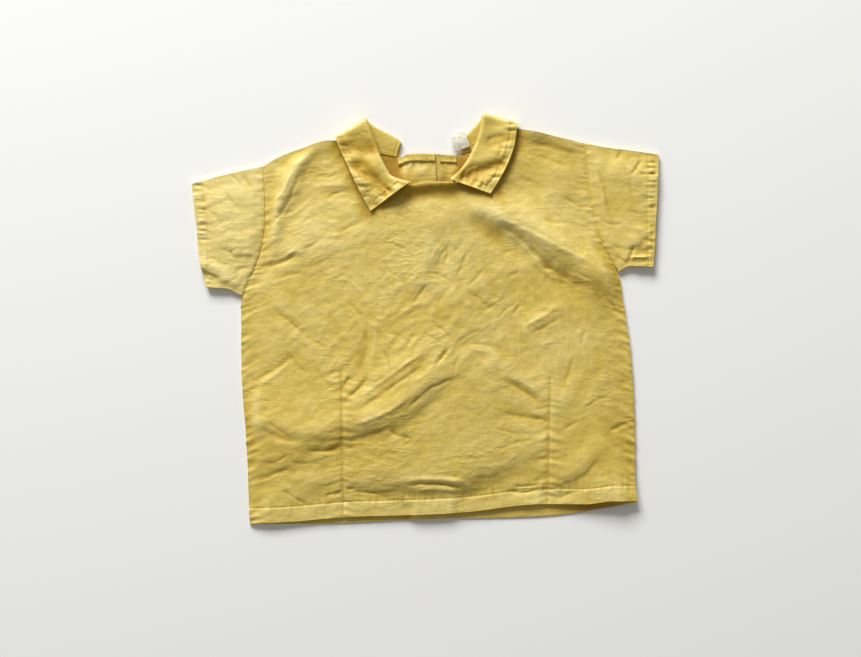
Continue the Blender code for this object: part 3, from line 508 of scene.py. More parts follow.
FRONT_CREASES = creases_of(
    # Low centre: the sharp pleat above the hem and what runs out of it.
    (1.9, -1.5, -20, -137, -8, -135, 6, -134.4, 20, -136, 36, -138.8),
    (3.2, 1.0, -26, -131, -4, -129.4, 16, -130, 38, -132.5),
    (1.5, 0.7, -12, -140.4, 10, -139.4, 30, -142.2),
    (1.6, -0.8, -60, -140.5, -40, -142, -25, -140.6),
    (1.5, -0.7, -66, -139.4, -57, -139),
    (1.7, -0.5, -84, -145.4, -76, -142.4, -68, -140.4),
    (1.4, -0.7, -120, -139.5, -108, -146.5, -97, -153.5),
    (1.5, -0.9, 67, -141, 78, -142, 88, -140.6, 97, -141),
    (1.4, -0.6, 70, -136.6, 82, -137.6, 96, -134.2),
    (2.2, -0.4, 100, -140.5, 114, -134.5, 131, -126.5, 146, -107),
    (1.6, -0.4, 104, -149, 118, -143.4, 134, -139),
    (1.5, -0.5, 88, -132.4, 101, -129.6),
    # Left belly, under the bright band.
    (2.6, -0.5, -143, -85, -126, -94, -112, -99, -96, -97),
    (2.0, -1.0, -99, -106, -86, -107.6, -71, -105.4),
    (2.4, 0.6, -96, -101.5, -82, -102.6, -70, -101),
    (1.8, -0.4, -111, -115.6, -102, -117.6, -94, -117.4),
    (2.3, -0.8, -141, -133.4, -126, -127.6, -111, -121.4),
    (1.7, -0.6, -134, -119, -122, -116, -112, -110),
    (1.6, -0.6, -131, -84, -121, -90, -109, -99),
    (2.6, -0.9, -66, -97.4, -52, -95.6, -36, -90, -24, -84),
    (1.7, -0.8, -31, -91, -22, -95.4, -11, -98.4),
    (1.6, -0.6, -20, -78, -8, -66, 2, -57, 14, -51, 31, -46),
    (2.4, 0.8, -64, -88, -44, -81, -24, -71, -8, -58),
    (1.8, -0.7, -58, -75, -38, -62, -18, -48, 2, -34),
    (2.0, 0.6, -62, -69, -40, -54, -18, -38, 4, -22),
    (1.6, -1.2, -45.5, -46, -54, -56, -66, -66.5),
    (1.5, -0.7, -62, -44, -66, -52, -69, -59),
    (1.4, -0.5, -56, -43, -62, -50, -70, -52),
    (1.4, -0.5, -76, -56, -84, -48, -90, -38),
    # Middle, where the cloth was crushed.
    (2.4, -0.7, -48.6, 6, -48, -14, -50, -30, -54, -46),
    (2.2, 0.4, -43, -2, -42, -20, -46, -36),
    (1.4, -0.5, -36, -24, -30, -34, -28, -46),
    (1.4, -0.6, 35, -19.6, 46, -21, 58, -22.2),
    (1.6, 0.5, 37, -24, 48, -25.4, 58, -26),
    (1.8, -0.7, 24, -21, 34, -13.6, 46, -7.6),
    (1.8, -0.8, 21, -22, 14, -30, 7, -41),
    (1.5, -0.5, 28, -26, 24, -38, 22, -47),
    (1.6, -0.6, 6, -2, 16, -10, 24, -19),
    (1.4, -0.5, -4, -8, 8, -17, 18, -21),
    (1.7, -0.6, -12, 12, -5, 21, 2, 30),
    (1.6, -0.6, 0, 38.4, 12, 36, 22, 29),
    (2.0, -0.6, 7, 43, 13, 53, 20, 66),
    (1.5, 0.5, 3, 47, 10, 58, 17, 69),
    (1.4, -0.5, 14, 42, 17, 52, 18, 61),
    (1.6, -0.4, -36, 46, -28, 38, -18, 33),
    (1.5, -0.4, -30, 64, -18, 58, -8, 48),
    (1.7, -0.5, 34, 58, 30, 44, 24, 32),
    (1.5, -0.4, 52, 46, 44, 36, 34, 26),
    (1.5, -0.5, 30, 24, 44, 17, 56, 6),
    (1.4, -0.4, 40, 6, 52, 10, 64, 18),
    (1.4, -0.4, 58, -2, 66, 8, 77, 14),
    (1.5, -0.4, -10, -22, -22, -14, -36, -10),
    (1.5, -0.4, -66, 16, -56, 6, -50, -8),
    (1.5, 0.4, -74, 36, -60, 30, -48, 20),
    # Left chest and side.
    (1.8, -0.35, -72, 71, -61, 76.4, -49, 80.4),
    (1.6, -0.5, -82, 100.6, -72, 104.4, -61, 106.4),
    (3.0, 0.5, -96, 109, -80, 111.4, -60, 110.6),
    (1.7, -0.4, -101, 57.4, -94, 61, -87, 65.6),
    (2.4, -0.8, -140, 43, -126, 44.6, -114, 49, -104, 55.4),
    (2.0, 0.6, -133, 49.4, -120, 50.6, -104, 59),
    (1.7, -0.5, -121, 33, -111, 36.6, -99, 37.8),
    (1.3, -0.5, -128, 10.4, -112, -1, -94, -16, -75, -27),
    (1.4, 0.35, -126, 14, -110, 3, -92, -11.6),
    (2.4, -0.6, -104, -26, -122, -39.6, -146, -53),
    (2.0, 0.5, -108, -33, -124, -45, -142, -58),
    (1.5, -0.4, -118, -22, -104, -38, -92, -46),
    (1.6, -0.5, -92, 118.4, -80, 117, -69, 120.6),
    (1.8, -0.6, -101, 124, -112, 98, -124, 80, -131, 74),
    (1.6, 0.5, -108, 124, -119, 103, -129, 92),
    (1.2, -0.5, -132.4, 112, -127, 112.4),
    # Right chest: the long valley from the collar to the underarm and the ridges over it.
    (3.4, -0.9, 44, 85, 60, 78, 76, 69, 90, 55, 104, 42, 124, 31, 142, 24),
    (3.0, 0.8, 54, 87, 76, 77.6, 96, 67, 116, 57, 144, 43, 158, 34),
    (1.5, -0.6, 96, 42.6, 107, 40.4),
    (1.5, -0.6, 104, 33.4, 116, 28.8),
    (1.7, -0.5, 114, 41, 126, 37, 138, 31),
    (1.6, 0.5, 88, 50, 100, 38, 116, 26),
    (1.8, -0.6, 114, 101.4, 125, 94, 135, 92),
    (2.6, -0.4, 74, 117, 84, 115, 96, 111.6),
    (2.6, -0.4, 94, 83, 107, 80, 121, 80.4),
    (2.0, -0.4, 60, 53.6, 69, 57, 79, 57),
    (2.2, -0.5, 57, 32.6, 70, 36, 81, 42.4),
    (1.5, -0.5, 71, 4, 74, 8, 77, 13),
    (2.6, -0.5, 82, 145.4, 101, 142.6, 118, 138, 131, 135.6),
    (1.6, -0.4, 88, 136, 104, 131, 118, 124),
    # Right belly.
    (2.2, 0.6, 79, -6, 94, 1, 111, 12.6),
    (1.8, -0.5, 84, -12, 97, -6, 112, 2),
    (1.9, -0.6, 120.6, -29, 118, -43, 112.6, -56),
    (1.7, -0.6, 133.4, -7, 130, -14, 127.6, -23),
    (2.2, -0.8, 64, -49, 80, -58, 98, -71),
    (1.8, 0.5, 62, -44, 80, -51, 96, -62),
    (1.9, -0.7, 59, -75.6, 82, -80.6, 106, -83.4),
    (1.5, -0.4, 56, -89, 74, -93, 92, -93),
    (1.8, -0.8, 149, -91, 158, -88.6, 169, -84.6),
    (1.5, -0.5, 128, -74, 140, -66, 152, -62),
    (1.5, -0.5, 112, -92, 124, -84, 134, -82),
    (2.6, -0.2, 34, -127, 48, -129, 62, -126, 84, -115, 101, -105),
    (2.2, 0.3, 40, -120, 58, -119.4, 80, -108),
    (1.7, -0.5, 60, -106, 76, -100, 92, -99),
    (1.7, -0.7, 160, 1, 164, -5, 166.5, -11),
    (1.6, -0.5, 146, 20, 154, 12, 160, 4),
)
SLEEVE_LEFT_CREASES = creases_of(
    (1.5, -0.5, -156, 49.4, -149, 50.6, -141, 51.4),
    (1.4, -0.8, -156, 41, -149, 42.4, -141, 42),
    (1.6, 0.5, -158, 53.6, -149, 54.6, -142, 54.6),
    (1.8, -0.9, -186, 41.4, -177, 37.6, -168, 32.4),
    (1.5, -0.8, -150, 20.6, -145, 27, -137.6, 35),
    (1.5, -0.7, -151, 120, -146.4, 114, -142.6, 106),
    (2.0, -0.4, -184, 92, -172, 84, -164, 72),
    (1.6, -0.4, -170, 62, -162, 56, -152, 60),
    (1.6, -0.5, -178, 52, -168, 46, -160, 44),
    (1.6, -0.4, -166, 108, -158, 96, -150, 88),
    (1.5, -0.5, -168, 29, -160, 31, -152, 36),
    (1.5, -0.9, -191, 99.4, -185, 99, -179, 100),
    (1.5, -1.0, -191, 95.4, -185, 95.6, -178, 96.6),
    (1.4, -0.8, -190, 90.4, -184, 90.2, -179, 90.8),
    (1.4, -0.7, -189, 87, -184, 86.8, -180, 87.4),
    (1.5, -0.8, -160, 57, -157.6, 52, -154, 50.6),
    (1.4, -0.6, -163, 120, -155, 114, -150, 106),
)
SLEEVE_RIGHT_CREASES = creases_of(
    (1.8, -0.6, 138, 130, 146, 110, 150, 92, 156, 72),
    (1.6, -0.5, 162, 132, 168, 112, 172, 92),
    (1.5, -0.6, 150, 63, 160, 58, 172, 57, 186, 56),
    (1.4, -0.6, 156, 53, 163, 48, 168, 47),
    (1.5, -0.4, 142, 84, 152, 78, 164, 78),
    (1.5, -0.5, 170, 128, 176, 121, 183, 119),
    (1.5, -0.4, 160, 96, 170, 88, 184, 86),
    (2.0, -1.4, 172.5, 63, 170, 56, 167, 48, 165.5, 43),
    (1.5, 1.0, 166, 49.6, 172, 50.6, 179, 50.8, 188, 52.4),
    (1.5, -1.2, 166, 46.8, 172, 47.6, 179, 47.8, 188, 49),
    (1.9, -1.0, 176, 132, 174, 126, 170, 121, 166, 121),
    (1.5, -1.0, 180, 129, 185, 129.4, 191, 129),
    (1.5, -1.0, 181, 124, 186, 124.4, 191, 123.6),
    (1.5, -0.9, 182, 119.6, 186, 120, 191, 119.2),
    (1.4, -0.8, 182, 112, 186, 112.4, 190, 111.6),
    (1.4, -0.7, 182, 93, 186, 92.4, 190, 92.6),
    (1.6, -0.8, 161, 141, 159, 136, 157, 131),
)
# The backs lie on the floor: their creases are pressed up from below.
BACK_CREASES = creases_of(
    (2.6, 0.7, -140, -60, -104, -40, -62, -34, -30, -10),
    (2.2, 0.6, -128, 8, -96, -8, -66, -2, -38, 22),
    (2.6, 0.7, -120, 70, -92, 52, -60, 56, -34, 84),
    (2.0, 0.5, -136, -120, -100, -112, -70, -124, -36, -116),
    (2.0, 0.5, -96, -146, -76, -128, -50, -90, -46, -60),
    (2.2, 0.6, -112, 116, -96, 92, -84, 66, -86, 30),
    (2.6, 0.7, 150, -70, 118, -52, 80, -56, 44, -30),
    (2.4, 0.7, 146, 20, 110, 6, 84, 18, 48, 8),
    (2.2, 0.6, 118, 96, 92, 74, 66, 80, 36, 62),
    (2.0, 0.5, 158, -128, 126, -116, 96, -124, 52, -112),
    (2.0, 0.5, 112, -140, 96, -104, 70, -80, 60, -46),
    (2.2, 0.6, 116, 126, 104, 92, 110, 60, 132, 34),
    (1.8, 0.5, 42, 110, 52, 84, 46, 52, 58, 26),
    (1.8, 0.5, -40, 100, -50, 66, -44, 34, -52, 0),
)


def noise(x, y, cell, seed):
    """Smooth gradient noise, about -1 to 1, with features of the size cell."""
    angles = np.random.default_rng(seed).uniform(0, 2 * pi, (64, 64))
    gx, gy = np.cos(angles), np.sin(angles)
    px, py = x / cell + 101.3, y / cell + 57.9
    ix, iy = np.floor(px).astype(int), np.floor(py).astype(int)
    fx, fy = px - ix, py - iy
    wx, wy = fx**3 * (fx * (fx * 6 - 15) + 10), fy**3 * (fy * (fy * 6 - 15) + 10)

    def corner(dx, dy):
        i, j = (ix + dx) % 64, (iy + dy) % 64
        return gx[i, j] * (fx - dx) + gy[i, j] * (fy - dy)

    low = corner(0, 0) * (1 - wx) + corner(1, 0) * wx
    high = corner(0, 1) * (1 - wx) + corner(1, 1) * wx
    return 1.5 * (low * (1 - wy) + high * wy)


def curve_through(points, steps=7):
    """A smooth curve through the points, as an array with a few steps to each stretch."""
    p = np.array(points, dtype=float)
    ends = np.concatenate([[2 * p[0] - p[1]], p, [2 * p[-1] - p[-2]]])
    out = []
    for a, b, c, d in zip(ends[:-3], ends[1:-2], ends[2:-1], ends[3:]):
        for t in np.linspace(0, 1, steps, endpoint=False):
            bend = (2 * a - 5 * b + 4 * c - d) * t**2 + (3 * b - a - 3 * c + d) * t**3
            out.append(0.5 * (2 * b + (c - a) * t + bend))
    return np.array(out + [p[-1]])


def crease_height(creases, x, y, seed):
    """The summed height of the creases at x, y. Each is uneven along its length."""
    total = np.zeros_like(x)
    flat_x, flat_y, flat = x.ravel(), y.ravel(), total.ravel()
    for number, crease in enumerate(creases):
        width = CREASE_WIDTH * crease.width
        line = np.array(crease.points) - (0, SLOPE_SHIFT * width)
        margin = 3.6 * width + 1.5
        low, high = line.min(axis=0) - margin, line.max(axis=0) + margin
        across = (flat_x > low[0]) & (flat_x < high[0])
        near = np.nonzero(across & (flat_y > low[1]) & (flat_y < high[1]))[0]
        if not len(near):
            continue
        px, py = flat_x[near], flat_y[near]
        px = px + 0.7 * noise(px, py, 9.0, seed + number)
        py = py + 0.7 * noise(px, py, 9.0, seed + number + 500)
        gap, where, span = from_line(line, px, py)
        ends = ease(where / (CREASE_ENDS * span)) * ease((span - where) / (CREASE_ENDS * span))
        uneven = 0.8 + 0.45 * noise(where, where * 0 + number * 7.7, 11.0, seed + number + 900)
        skew = 1.0 + 0.35 * np.sign(gap) * (1 if number % 2 else -1)
        flat[near] += CREASE_DEPTH * crease.height * ends * uneven * ridge(gap, width * skew)
    return flat.reshape(x.shape)


# How the fine crumpling runs. Each row is a lean in degrees, its strength everywhere, and the patches
# where it is stronger, as x, y, reach across, reach up and strength.
Grain = namedtuple("Grain", "lean base patches")
GRAINS = (
    Grain(12, 0.35, (
        (-95, 85, 60, 60, 1.3), (-90, -115, 70, 40, 0.9), (60, -135, 90, 25, 0.6), (-160, 70, 30, 60, 0.5),
    )),
    Grain(38, 0.30, (
        (-60, -30, 70, 60, 0.8), (20, 10, 60, 60, 0.6), (-110, 30, 50, 30, 0.5), (140, -60, 40, 60, 0.5),
    )),
    Grain(-30, 0.28, (
        (100, 70, 70, 60, 0.8), (-100, -20, 60, 40, 0.5), (80, -60, 50, 50, 0.4), (165, 90, 30, 60, 0.5),
    )),
    Grain(-76, 0.22, (
        (95, -15, 50, 60, 0.9), (-45, -20, 25, 60, 0.6), (15, 55, 35, 40, 0.7), (140, 0, 30, 40, 0.4),
    )),
)
# Each size of the crumpling: how far apart its ridges are and how high.
CRUMPLE_SIZES = ((17.0, 0.40), (9.5, 0.25), (5.2, 0.125))


def crumple(x, y, seed):
    """Fine crumpling: soft ridges and valleys that meet at corners, as in washed unironed cotton."""
    total = 0.0
    for number, grain in enumerate(GRAINS):
        strength = grain.base + shaded(grain.patches, x, y)
        turn = radians(grain.lean)
        along, across = x * cos(turn) + y * sin(turn), y * cos(turn) - x * sin(turn)
        first = seed + 7 * number
        wander = 4.5 * noise(x, y, 34.0, first) + 1.6 * noise(x, y, 13.0, first + 1)
        for octave, (cell, height) in enumerate(CRUMPLE_SIZES):
            key = seed + 31 * number + octave
            wave = 1.9 * np.abs(noise((along + wander) / 2.3, across + wander, cell, key + 2)) - 0.62
            crest = -wave if (number + octave) % 2 else wave
            spread = 0.45 + 0.95 * np.clip(noise(x, y, cell * 2.6, key + 15) + 0.25, 0, 1)
            total = total + strength * height * spread * crest
    return CRUMPLE_DEPTH * total


def puckers(along, away, seed, pitch=6.0, reach=5.0, height=0.5, lean=0.0):
    """Short ripples across a seam: along runs with the seam and away is the distance from it."""
    wander = along + lean * away + 2.6 * noise(along, away * 0, 15.0, seed)
    ripple = noise(wander, away * 0.28, pitch * 0.62, seed + 1)
    strength = 0.55 + 0.6 * np.abs(noise(along, along * 0, 28.0, seed + 2))
    return height * strength * ripple * np.exp(-np.abs(away) / reach)


def front_edges(x, y):
    """Distances of x, y from the front's nearest side, its top and its hem."""
    hem, top = smooth(HEM_FRONT, x), smooth(TOP_FRONT, x)
    near_side = np.minimum(x - smooth(SIDE_LEFT, y), smooth(SIDE_RIGHT, y) - x)
    high = top - hem
    v = np.clip((y - hem) / high, 0, 1)
    return np.maximum(near_side, 0.0), (1 - v) * high, v * high


DARTS = (
    ((-69.5, -44.0), (-68.6, -100.0), (-68.0, -157.0)),
    ((102.0, -46.0), (101.0, -100.0), (100.0, -151.0)),
)


def dart_line(points, y):
    """x of a dart's seam at y."""
    return np.interp(-y, [-point[1] for point in points], [point[0] for point in points])


def dart_relief(x, y, number, points):
    """A stitched dart: a narrow groove with one raised lip, and puckers across it."""
    top, bottom = points[0][1], points[-1][1]
    away = x - dart_line(points, y)
    here = ease(((top - y) / (top - bottom) + 0.03) / 0.08)
    groove = 0.15 * ridge(away - 2.6, 2.0) - 0.38 * ridge(away, 1.1)
    wander = 2.0 * noise(y, away * 0, 17.0, 311 + number)
    ripple = noise(y + 0.25 * np.abs(away) + wander, away * 0.10, 4.6, 300 + 10 * number)
    side = 0.7 + 0.6 * noise(y, np.sign(away) * 9.0, 19.0, 320 + number)
    return here * (groove + 1.5 * side * ripple * ridge(away, 10.0) * (1 - 0.5 * ridge(away, 1.5)))


def side_relief(y, near_side):
    """Puckers along the side seams, closer together along the armholes, and the seams' groove."""
    at_arm = ease((y - 26) / 6.0)
    free = puckers(y, near_side, 60, 8.2, 8.5, 2.0, -0.45)
    sewn = puckers(y, near_side, 62, 6.2, 4.6, 2.0, -0.2)
    return free * (1 - at_arm) + sewn * at_arm - (0.25 + 0.45 * at_arm) * ridge(near_side, 1.7)


def hem_relief(x, near_hem):
    """The turned layer of the hem, its stitched groove, and how it stands off the back and puckers."""
    turned = HEM_PLY * ease((HEM + 0.6 - near_hem) / 1.2) - 0.30 * ridge(near_hem - HEM - 0.2, 0.9)
    stands = HEM_LIFT * ease((x + 50) / 60.0) * ease((150 - x) / 50.0) * ridge(near_hem, 7.0)
    return turned + stands + puckers(x, near_hem - HEM, 71, 5.2, 6.0, 0.85)


def top_relief(x, y, near_top):
    """The raised rim of the neck and the raised shoulder seams."""
    neck = ease((x + 24) / 12.0) * ease((32 - x) / 12.0)
    deep = 3.9 + 2.0 * ridge(x, 9.0) + 0.9 * noise(x, x * 0, 9.0, 96)
    rim = neck * (4.2 * ridge(near_top, deep) - 0.8 * ridge(near_top - 12.0, 5.0))
    shoulder = ease((x - 70) / 10.0) * ease((132 - x) / 16.0)
    shoulder = shoulder + ease((-70 - x) / 8.0) * ease((x + 108) / 16.0)
    uneven = 0.8 + 0.4 * noise(x, y, 16.0, 97)
    return rim + 2.4 * shoulder * uneven * ridge(near_top, 7.5)


def front_relief(x, y, near_side, near_top, near_hem):
    """Everything finer than the front's folds."""
    crush = 0.85 + 0.5 * patch(x, y, 10, -20, 90, 90)
    relief = crease_height(FRONT_CREASES, x, y, 40) + crush * crumple(x, y, 7)
    for number, points in enumerate(DARTS):
        relief = relief + dart_relief(x, y, number, points)
    relief = relief * ease(near_side / 5.0 + 0.25) * ease(near_top / 5.0 + 0.3)
    return relief + side_relief(y, near_side) + hem_relief(x, near_hem) + top_relief(x, y, near_top)


def front_top(x, y):
    """Upper face of the front, with all its relief."""
    edges = front_edges(x, y)
    low = front_floor(x, y, *edges)
    high = low + WALL + front_relief(x, y, *edges)
    return np.maximum(high, front_rest(x, y) + WALL + 0.12)


def material_input(shader, name, value):
    shader.inputs[name].default_value = value


class Nodes:
    """A short way to add and join shader nodes."""

    def __init__(self, name):
        self.material = bpy.data.materials.new(name)
        self.material.use_nodes = True
        self.tree = self.material.node_tree
        self.shader = self.tree.nodes["Principled BSDF"]

    def add(self, kind, sets=None, links=None):
        node = self.tree.nodes.new(kind)
        for key, value in (sets or {}).items():
            if isinstance(key, str) and hasattr(node, key):
                setattr(node, key, value)
            else:
                node.inputs[key].default_value = value
        for key, source in (links or {}).items():
            self.tree.links.new(source, node.inputs[key])
        return node

    def join(self, source, name):
        self.tree.links.new(source, self.shader.inputs[name])

    def math(self, operation, a, b):
        node = self.add("ShaderNodeMath", {"operation": operation})
        for i, value in enumerate((a, b)):
            if isinstance(value, (int, float)):
                node.inputs[i].default_value = value
            else:
                self.tree.links.new(value, node.inputs[i])
        return node.outputs[0]


def cloth_material(name, deep, mid, pale, weave=1.0):
    """Plain-woven washed cloth. The wear_and_shade attribute runs it from its deep to its pale colour: paler
    crests for wear, and painted shade in troughs, hollows and under edges, with painted light in a few
    patches.
    """
    n = Nodes(name)
    place = n.add("ShaderNodeTexCoord").outputs["Object"]

    def stretched(x, y, z, seed=0.0, turn=0.0):
        sets = {"Scale": (x, y, z), "Location": (seed, seed, 0), "Rotation": (0, 0, turn)}
        return n.add("ShaderNodeMapping", sets, {"Vector": place}).outputs[0]

    def grain(vector, scale, detail=2.0, rough=0.5):
        sets = {"Scale": scale, "Detail": detail, "Roughness": rough}
        return n.add("ShaderNodeTexNoise", sets, {"Vector": vector}).outputs["Fac"]

    def crinkles(vector, detail, twist):
        sets = {"noise_type": "RIDGED_MULTIFRACTAL", "Scale": 1.0, "Detail": detail, "Roughness": 0.6,
                "Lacunarity": 2.1, "Offset": 0.9, "Gain": 1.6, "Distortion": twist}
        return n.add("ShaderNodeTexNoise", sets, {"Vector": vector}).outputs["Fac"]

    def threads(way, scale):
        sets = {"bands_direction": way, "Scale": scale, "Distortion": 2.4, "Detail": 1.0,
                "Detail Scale": 1.2}
        return n.add("ShaderNodeTexWave", sets, {"Vector": place}).outputs["Fac"]

    def bump(strength, distance, height, under=None):
        sets = {"Strength": strength * weave, "Distance": distance}
        links = {"Height": height} if under is None else {"Height": height, "Normal": under}
        return n.add("ShaderNodeBump", sets, links).outputs[0]

    # Colour: paler crests for wear and darker troughs for painted shade, from the wear_and_shade attribute,
    # then blotches, mottling and uneven threads.
    wear_and_shade = n.add("ShaderNodeAttribute", {"attribute_name": "wear_and_shade"}).outputs["Fac"]
    blotch = grain(place, 26.0, 4.0, 0.6)
    mottle = grain(place, 150.0, 3.0, 0.65)
    slub = n.math("ADD", grain(stretched(70.0, 900.0, 70.0), 1.0, 2.0, 0.6),
                  grain(stretched(900.0, 70.0, 70.0, 3.0), 1.0, 2.0, 0.6))
    tone = wear_and_shade
    for source, middle, strength in ((blotch, 0.5, 0.55), (mottle, 0.5, 0.30), (slub, 1.0, 0.20)):
        tone = n.math("ADD", tone, n.math("MULTIPLY", n.math("SUBTRACT", source, middle), strength))
    ramp = n.add("ShaderNodeValToRGB", links={"Fac": tone})
    stops = ramp.color_ramp.elements
    stops[0].position, stops[0].color = 0.0, (*deep, 1.0)
    stops[1].position, stops[1].color = 1.0, (*pale, 1.0)
    stops.new(0.5).color = (*mid, 1.0)
    n.join(ramp.outputs["Color"], "Base Color")

    # Relief: the weave, small streaks along the threads, and fine creases in patches.
    woven = n.math("MULTIPLY", threads("X", 560.0), threads("Y", 610.0))
    fine = n.math("ADD", n.math("MULTIPLY", woven, 0.25), n.math("MULTIPLY", slub, 0.9))
    streak = n.math("ADD", grain(stretched(170.0, 420.0, 170.0, 5.0), 1.0, 3.0, 0.6),
                    grain(stretched(380.0, 200.0, 170.0, 8.0), 1.0, 3.0, 0.6))
    folded = n.math("ADD", crinkles(stretched(62.0, 125.0, 90.0, 11.0), 4.0, 0.5),
                    crinkles(stretched(60.0, 130.0, 90.0, 0.0, 0.9), 3.0, 0.6))
    spread = n.math("SUBTRACT", grain(stretched(22.0, 22.0, 22.0, 2.0), 1.0, 2.0, 0.5), 0.40)
    patchy = n.math("ADD", 0.10, n.math("MAXIMUM", n.math("MULTIPLY", spread, 1.7), 0.0))
    first = bump(0.16, 0.0004, fine)
    small = bump(0.15, 0.0014, streak, first)
    n.join(bump(0.5, 0.0006, n.math("MULTIPLY", folded, patchy), small), "Normal")

    n.join(n.math("ADD", 0.50, n.math("MULTIPLY", mottle, 0.16)), "Roughness")
    for key, value in (
        ("Sheen Weight", 0.12), ("Sheen Roughness", 0.45), ("Sheen Tint", (1.0, 0.93, 0.72, 1.0)),
        ("Specular IOR Level", 0.7), ("Specular Tint", (1.0, 0.90, 0.60, 1.0)),
    ):
        material_input(n.shader, key, value)
    return n.material


# The cloth's colour ramp: DEEP_SHADE is the dark end that painted shade in troughs, under edges and below
# the neck's rim runs to; PALE is the pale end of worn crests and painted light.
DEEP_SHADE = (0.44, 0.265, 0.016)
MID = (0.62, 0.462, 0.092)
PALE = (0.790, 0.655, 0.262)
cloth = cloth_material("mustard_cloth", DEEP_SHADE, MID, PALE)
# A shaded copy of the cloth, with a darker and more orange deep end, for painted shade on the backs' inner
# face and the front's neck band.
shaded_inside_cloth = cloth_material("mustard_cloth_inside_shaded", (0.38, 0.205, 0.010), MID, PALE)
tape = cloth_material("label_tape", (0.60, 0.55, 0.45), (0.76, 0.72, 0.62), (0.85, 0.82, 0.74))
thread = cloth_material("mustard_thread", (0.40, 0.26, 0.03), (0.52, 0.375, 0.075), PALE, 0.3)

# The frame's origin against the blouse's own, read from where the middle button is.
MIDDLE_BUTTON = 3
button_place = np.add(*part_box(f"button_{MIDDLE_BUTTON}"))[:2] / 2 / MM
root_shift = button_place - np.array(button_centres()[MIDDLE_BUTTON - 1])


def put_mesh(name, points, faces, material, wear_and_shade=None):
    """One object from points in millimetres and faces. wear_and_shade is a value for each point, of wear and
    of painted light and shade.
    """
    points = np.asarray(points, dtype=float).copy()
    points[:, :2] += root_shift
    points[:, 2] = np.maximum(points[:, 2], 0.0)
    mesh = bpy.data.meshes.new(name)
    mesh.from_pydata((points * MM).tolist(), [], faces)
    work = bmesh.new()
    work.from_mesh(mesh)
    bmesh.ops.recalc_face_normals(work, faces=work.faces)
    work.to_mesh(mesh)
    work.free()
    values = np.full(len(points), 0.5) if wear_and_shade is None else np.asarray(wear_and_shade, dtype=float).ravel()
    attribute = mesh.attributes.new("wear_and_shade", "FLOAT", "POINT")
    attribute.data.foreach_set("value", values.astype(np.float32))
    mesh.shade_smooth()
    mesh.set_sharp_from_angle(angle=radians(60))
    mesh.materials.append(material)
    piece = bpy.data.objects.new(name, mesh)
    bpy.context.scene.collection.objects.link(piece)
    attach(piece, "root")
    return piece


def quads(index, flip=False):
    """The four-sided faces of a grid of point numbers."""
    a, b, c, d = index[:-1, :-1], index[:-1, 1:], index[1:, 1:], index[1:, :-1]
    return np.stack([a, d, c, b] if flip else [a, b, c, d], axis=-1).reshape(-1, 4)


def wall_faces(outer, inner, ring):
    """Points and faces of a closed wall between two grids. With ring, each row closes on itself."""
    rows, columns = outer.shape[:2]
    points = np.concatenate([outer.reshape(-1, 3), inner.reshape(-1, 3)])
    index = np.arange(rows * columns).reshape(rows, columns)
    if ring:
        index = np.concatenate([index, index[:, :1]], axis=1)
    upper = quads(index)
    below = rows * columns
    faces = [upper, upper[:, ::-1] + below]
    for line in (index[0], index[-1]) + (() if ring else (index[:, 0], index[:, -1])):
        faces.append(np.stack([line[:-1], line[1:], line[1:] + below, line[:-1] + below], axis=-1))
    return points, np.concatenate(faces).tolist()


def put_panel(name, outer, material, wear_and_shade):
    """A closed wall under a fine upper face.

    Its lower face has one point to INNER_STEP of the upper face's, each way.
    """
    low = outer.copy()
    low[..., 2] = spread_low(outer[..., 2], INNER_STEP) - WALL
    inner = low[::INNER_STEP, ::INNER_STEP]
    rows, columns = outer.shape[:2]
    fine = np.arange(rows * columns).reshape(rows, columns)
    coarse = np.arange(inner.shape[0] * inner.shape[1]).reshape(inner.shape[:2]) + rows * columns
    faces = quads(fine).tolist() + quads(coarse, flip=True).tolist()
    half = INNER_STEP // 2 + 1
    for edge in ((0, slice(None)), (-1, slice(None)), (slice(None), 0), (slice(None), -1)):
        upper, lower = fine[edge].tolist(), coarse[edge].tolist()
        for i in range(len(lower) - 1):
            strip = upper[i * INNER_STEP:(i + 1) * INNER_STEP + 1]
            faces += [[a, b, lower[i]] for a, b in zip(strip[:half], strip[1:half])]
            faces.append([strip[half - 1], strip[half], lower[i + 1], lower[i]])
            faces += [[a, b, lower[i + 1]] for a, b in zip(strip[half:], strip[half + 1:])]
    points = np.concatenate([outer.reshape(-1, 3), inner.reshape(-1, 3)])
    shades = np.concatenate([wear_and_shade.ravel(), wear_and_shade[::INNER_STEP, ::INNER_STEP].ravel()])
    return put_mesh(name, points, faces, material, shades)


def spread_low(grid, reach):
    """The least height within reach of each point of a grid."""
    wide = np.pad(grid, reach, mode="edge")
    rows, columns = grid.shape
    steps = range(2 * reach + 1)
    return np.min([wide[i:i + rows, j:j + columns] for i in steps for j in steps], axis=0)


def put_wall(name, outer, inner, material, wear_and_shade, ring=False):
    """A closed wall between two grids of points, as one object."""
    points, faces = wall_faces(outer, inner, ring)
    return put_mesh(name, points, faces, material, np.concatenate([np.asarray(wear_and_shade).ravel()] * 2))


def stack(x, y, z):
    return np.stack(np.broadcast_arrays(x, y, z), axis=-1)


def blur(grid, times):
    """A grid of heights, smoothed."""
    for _ in range(times):
        wide = np.pad(grid, 1, mode="edge")
        grid = (wide[:-2, 1:-1] + wide[2:, 1:-1] + wide[1:-1, :-2] + wide[1:-1, 2:] + 4 * grid) / 8
    return grid


def wear_and_shade_of(heights, level=0.56, gain=0.42):
    """Paler on crests as wear, and darker in troughs and broad hollows as painted shade."""
    fine = heights - blur(heights, 14)
    broad = blur(heights, 14) - blur(heights, 60)
    return np.clip(level + gain * fine + 0.24 * broad, 0.0, 1.0)


def along_keys(rows, t):
    """The keys of a curve's rows, from the first row's at 0 to the last one's at 1."""
    return rows[0][0] + (rows[-1][0] - rows[0][0]) * t


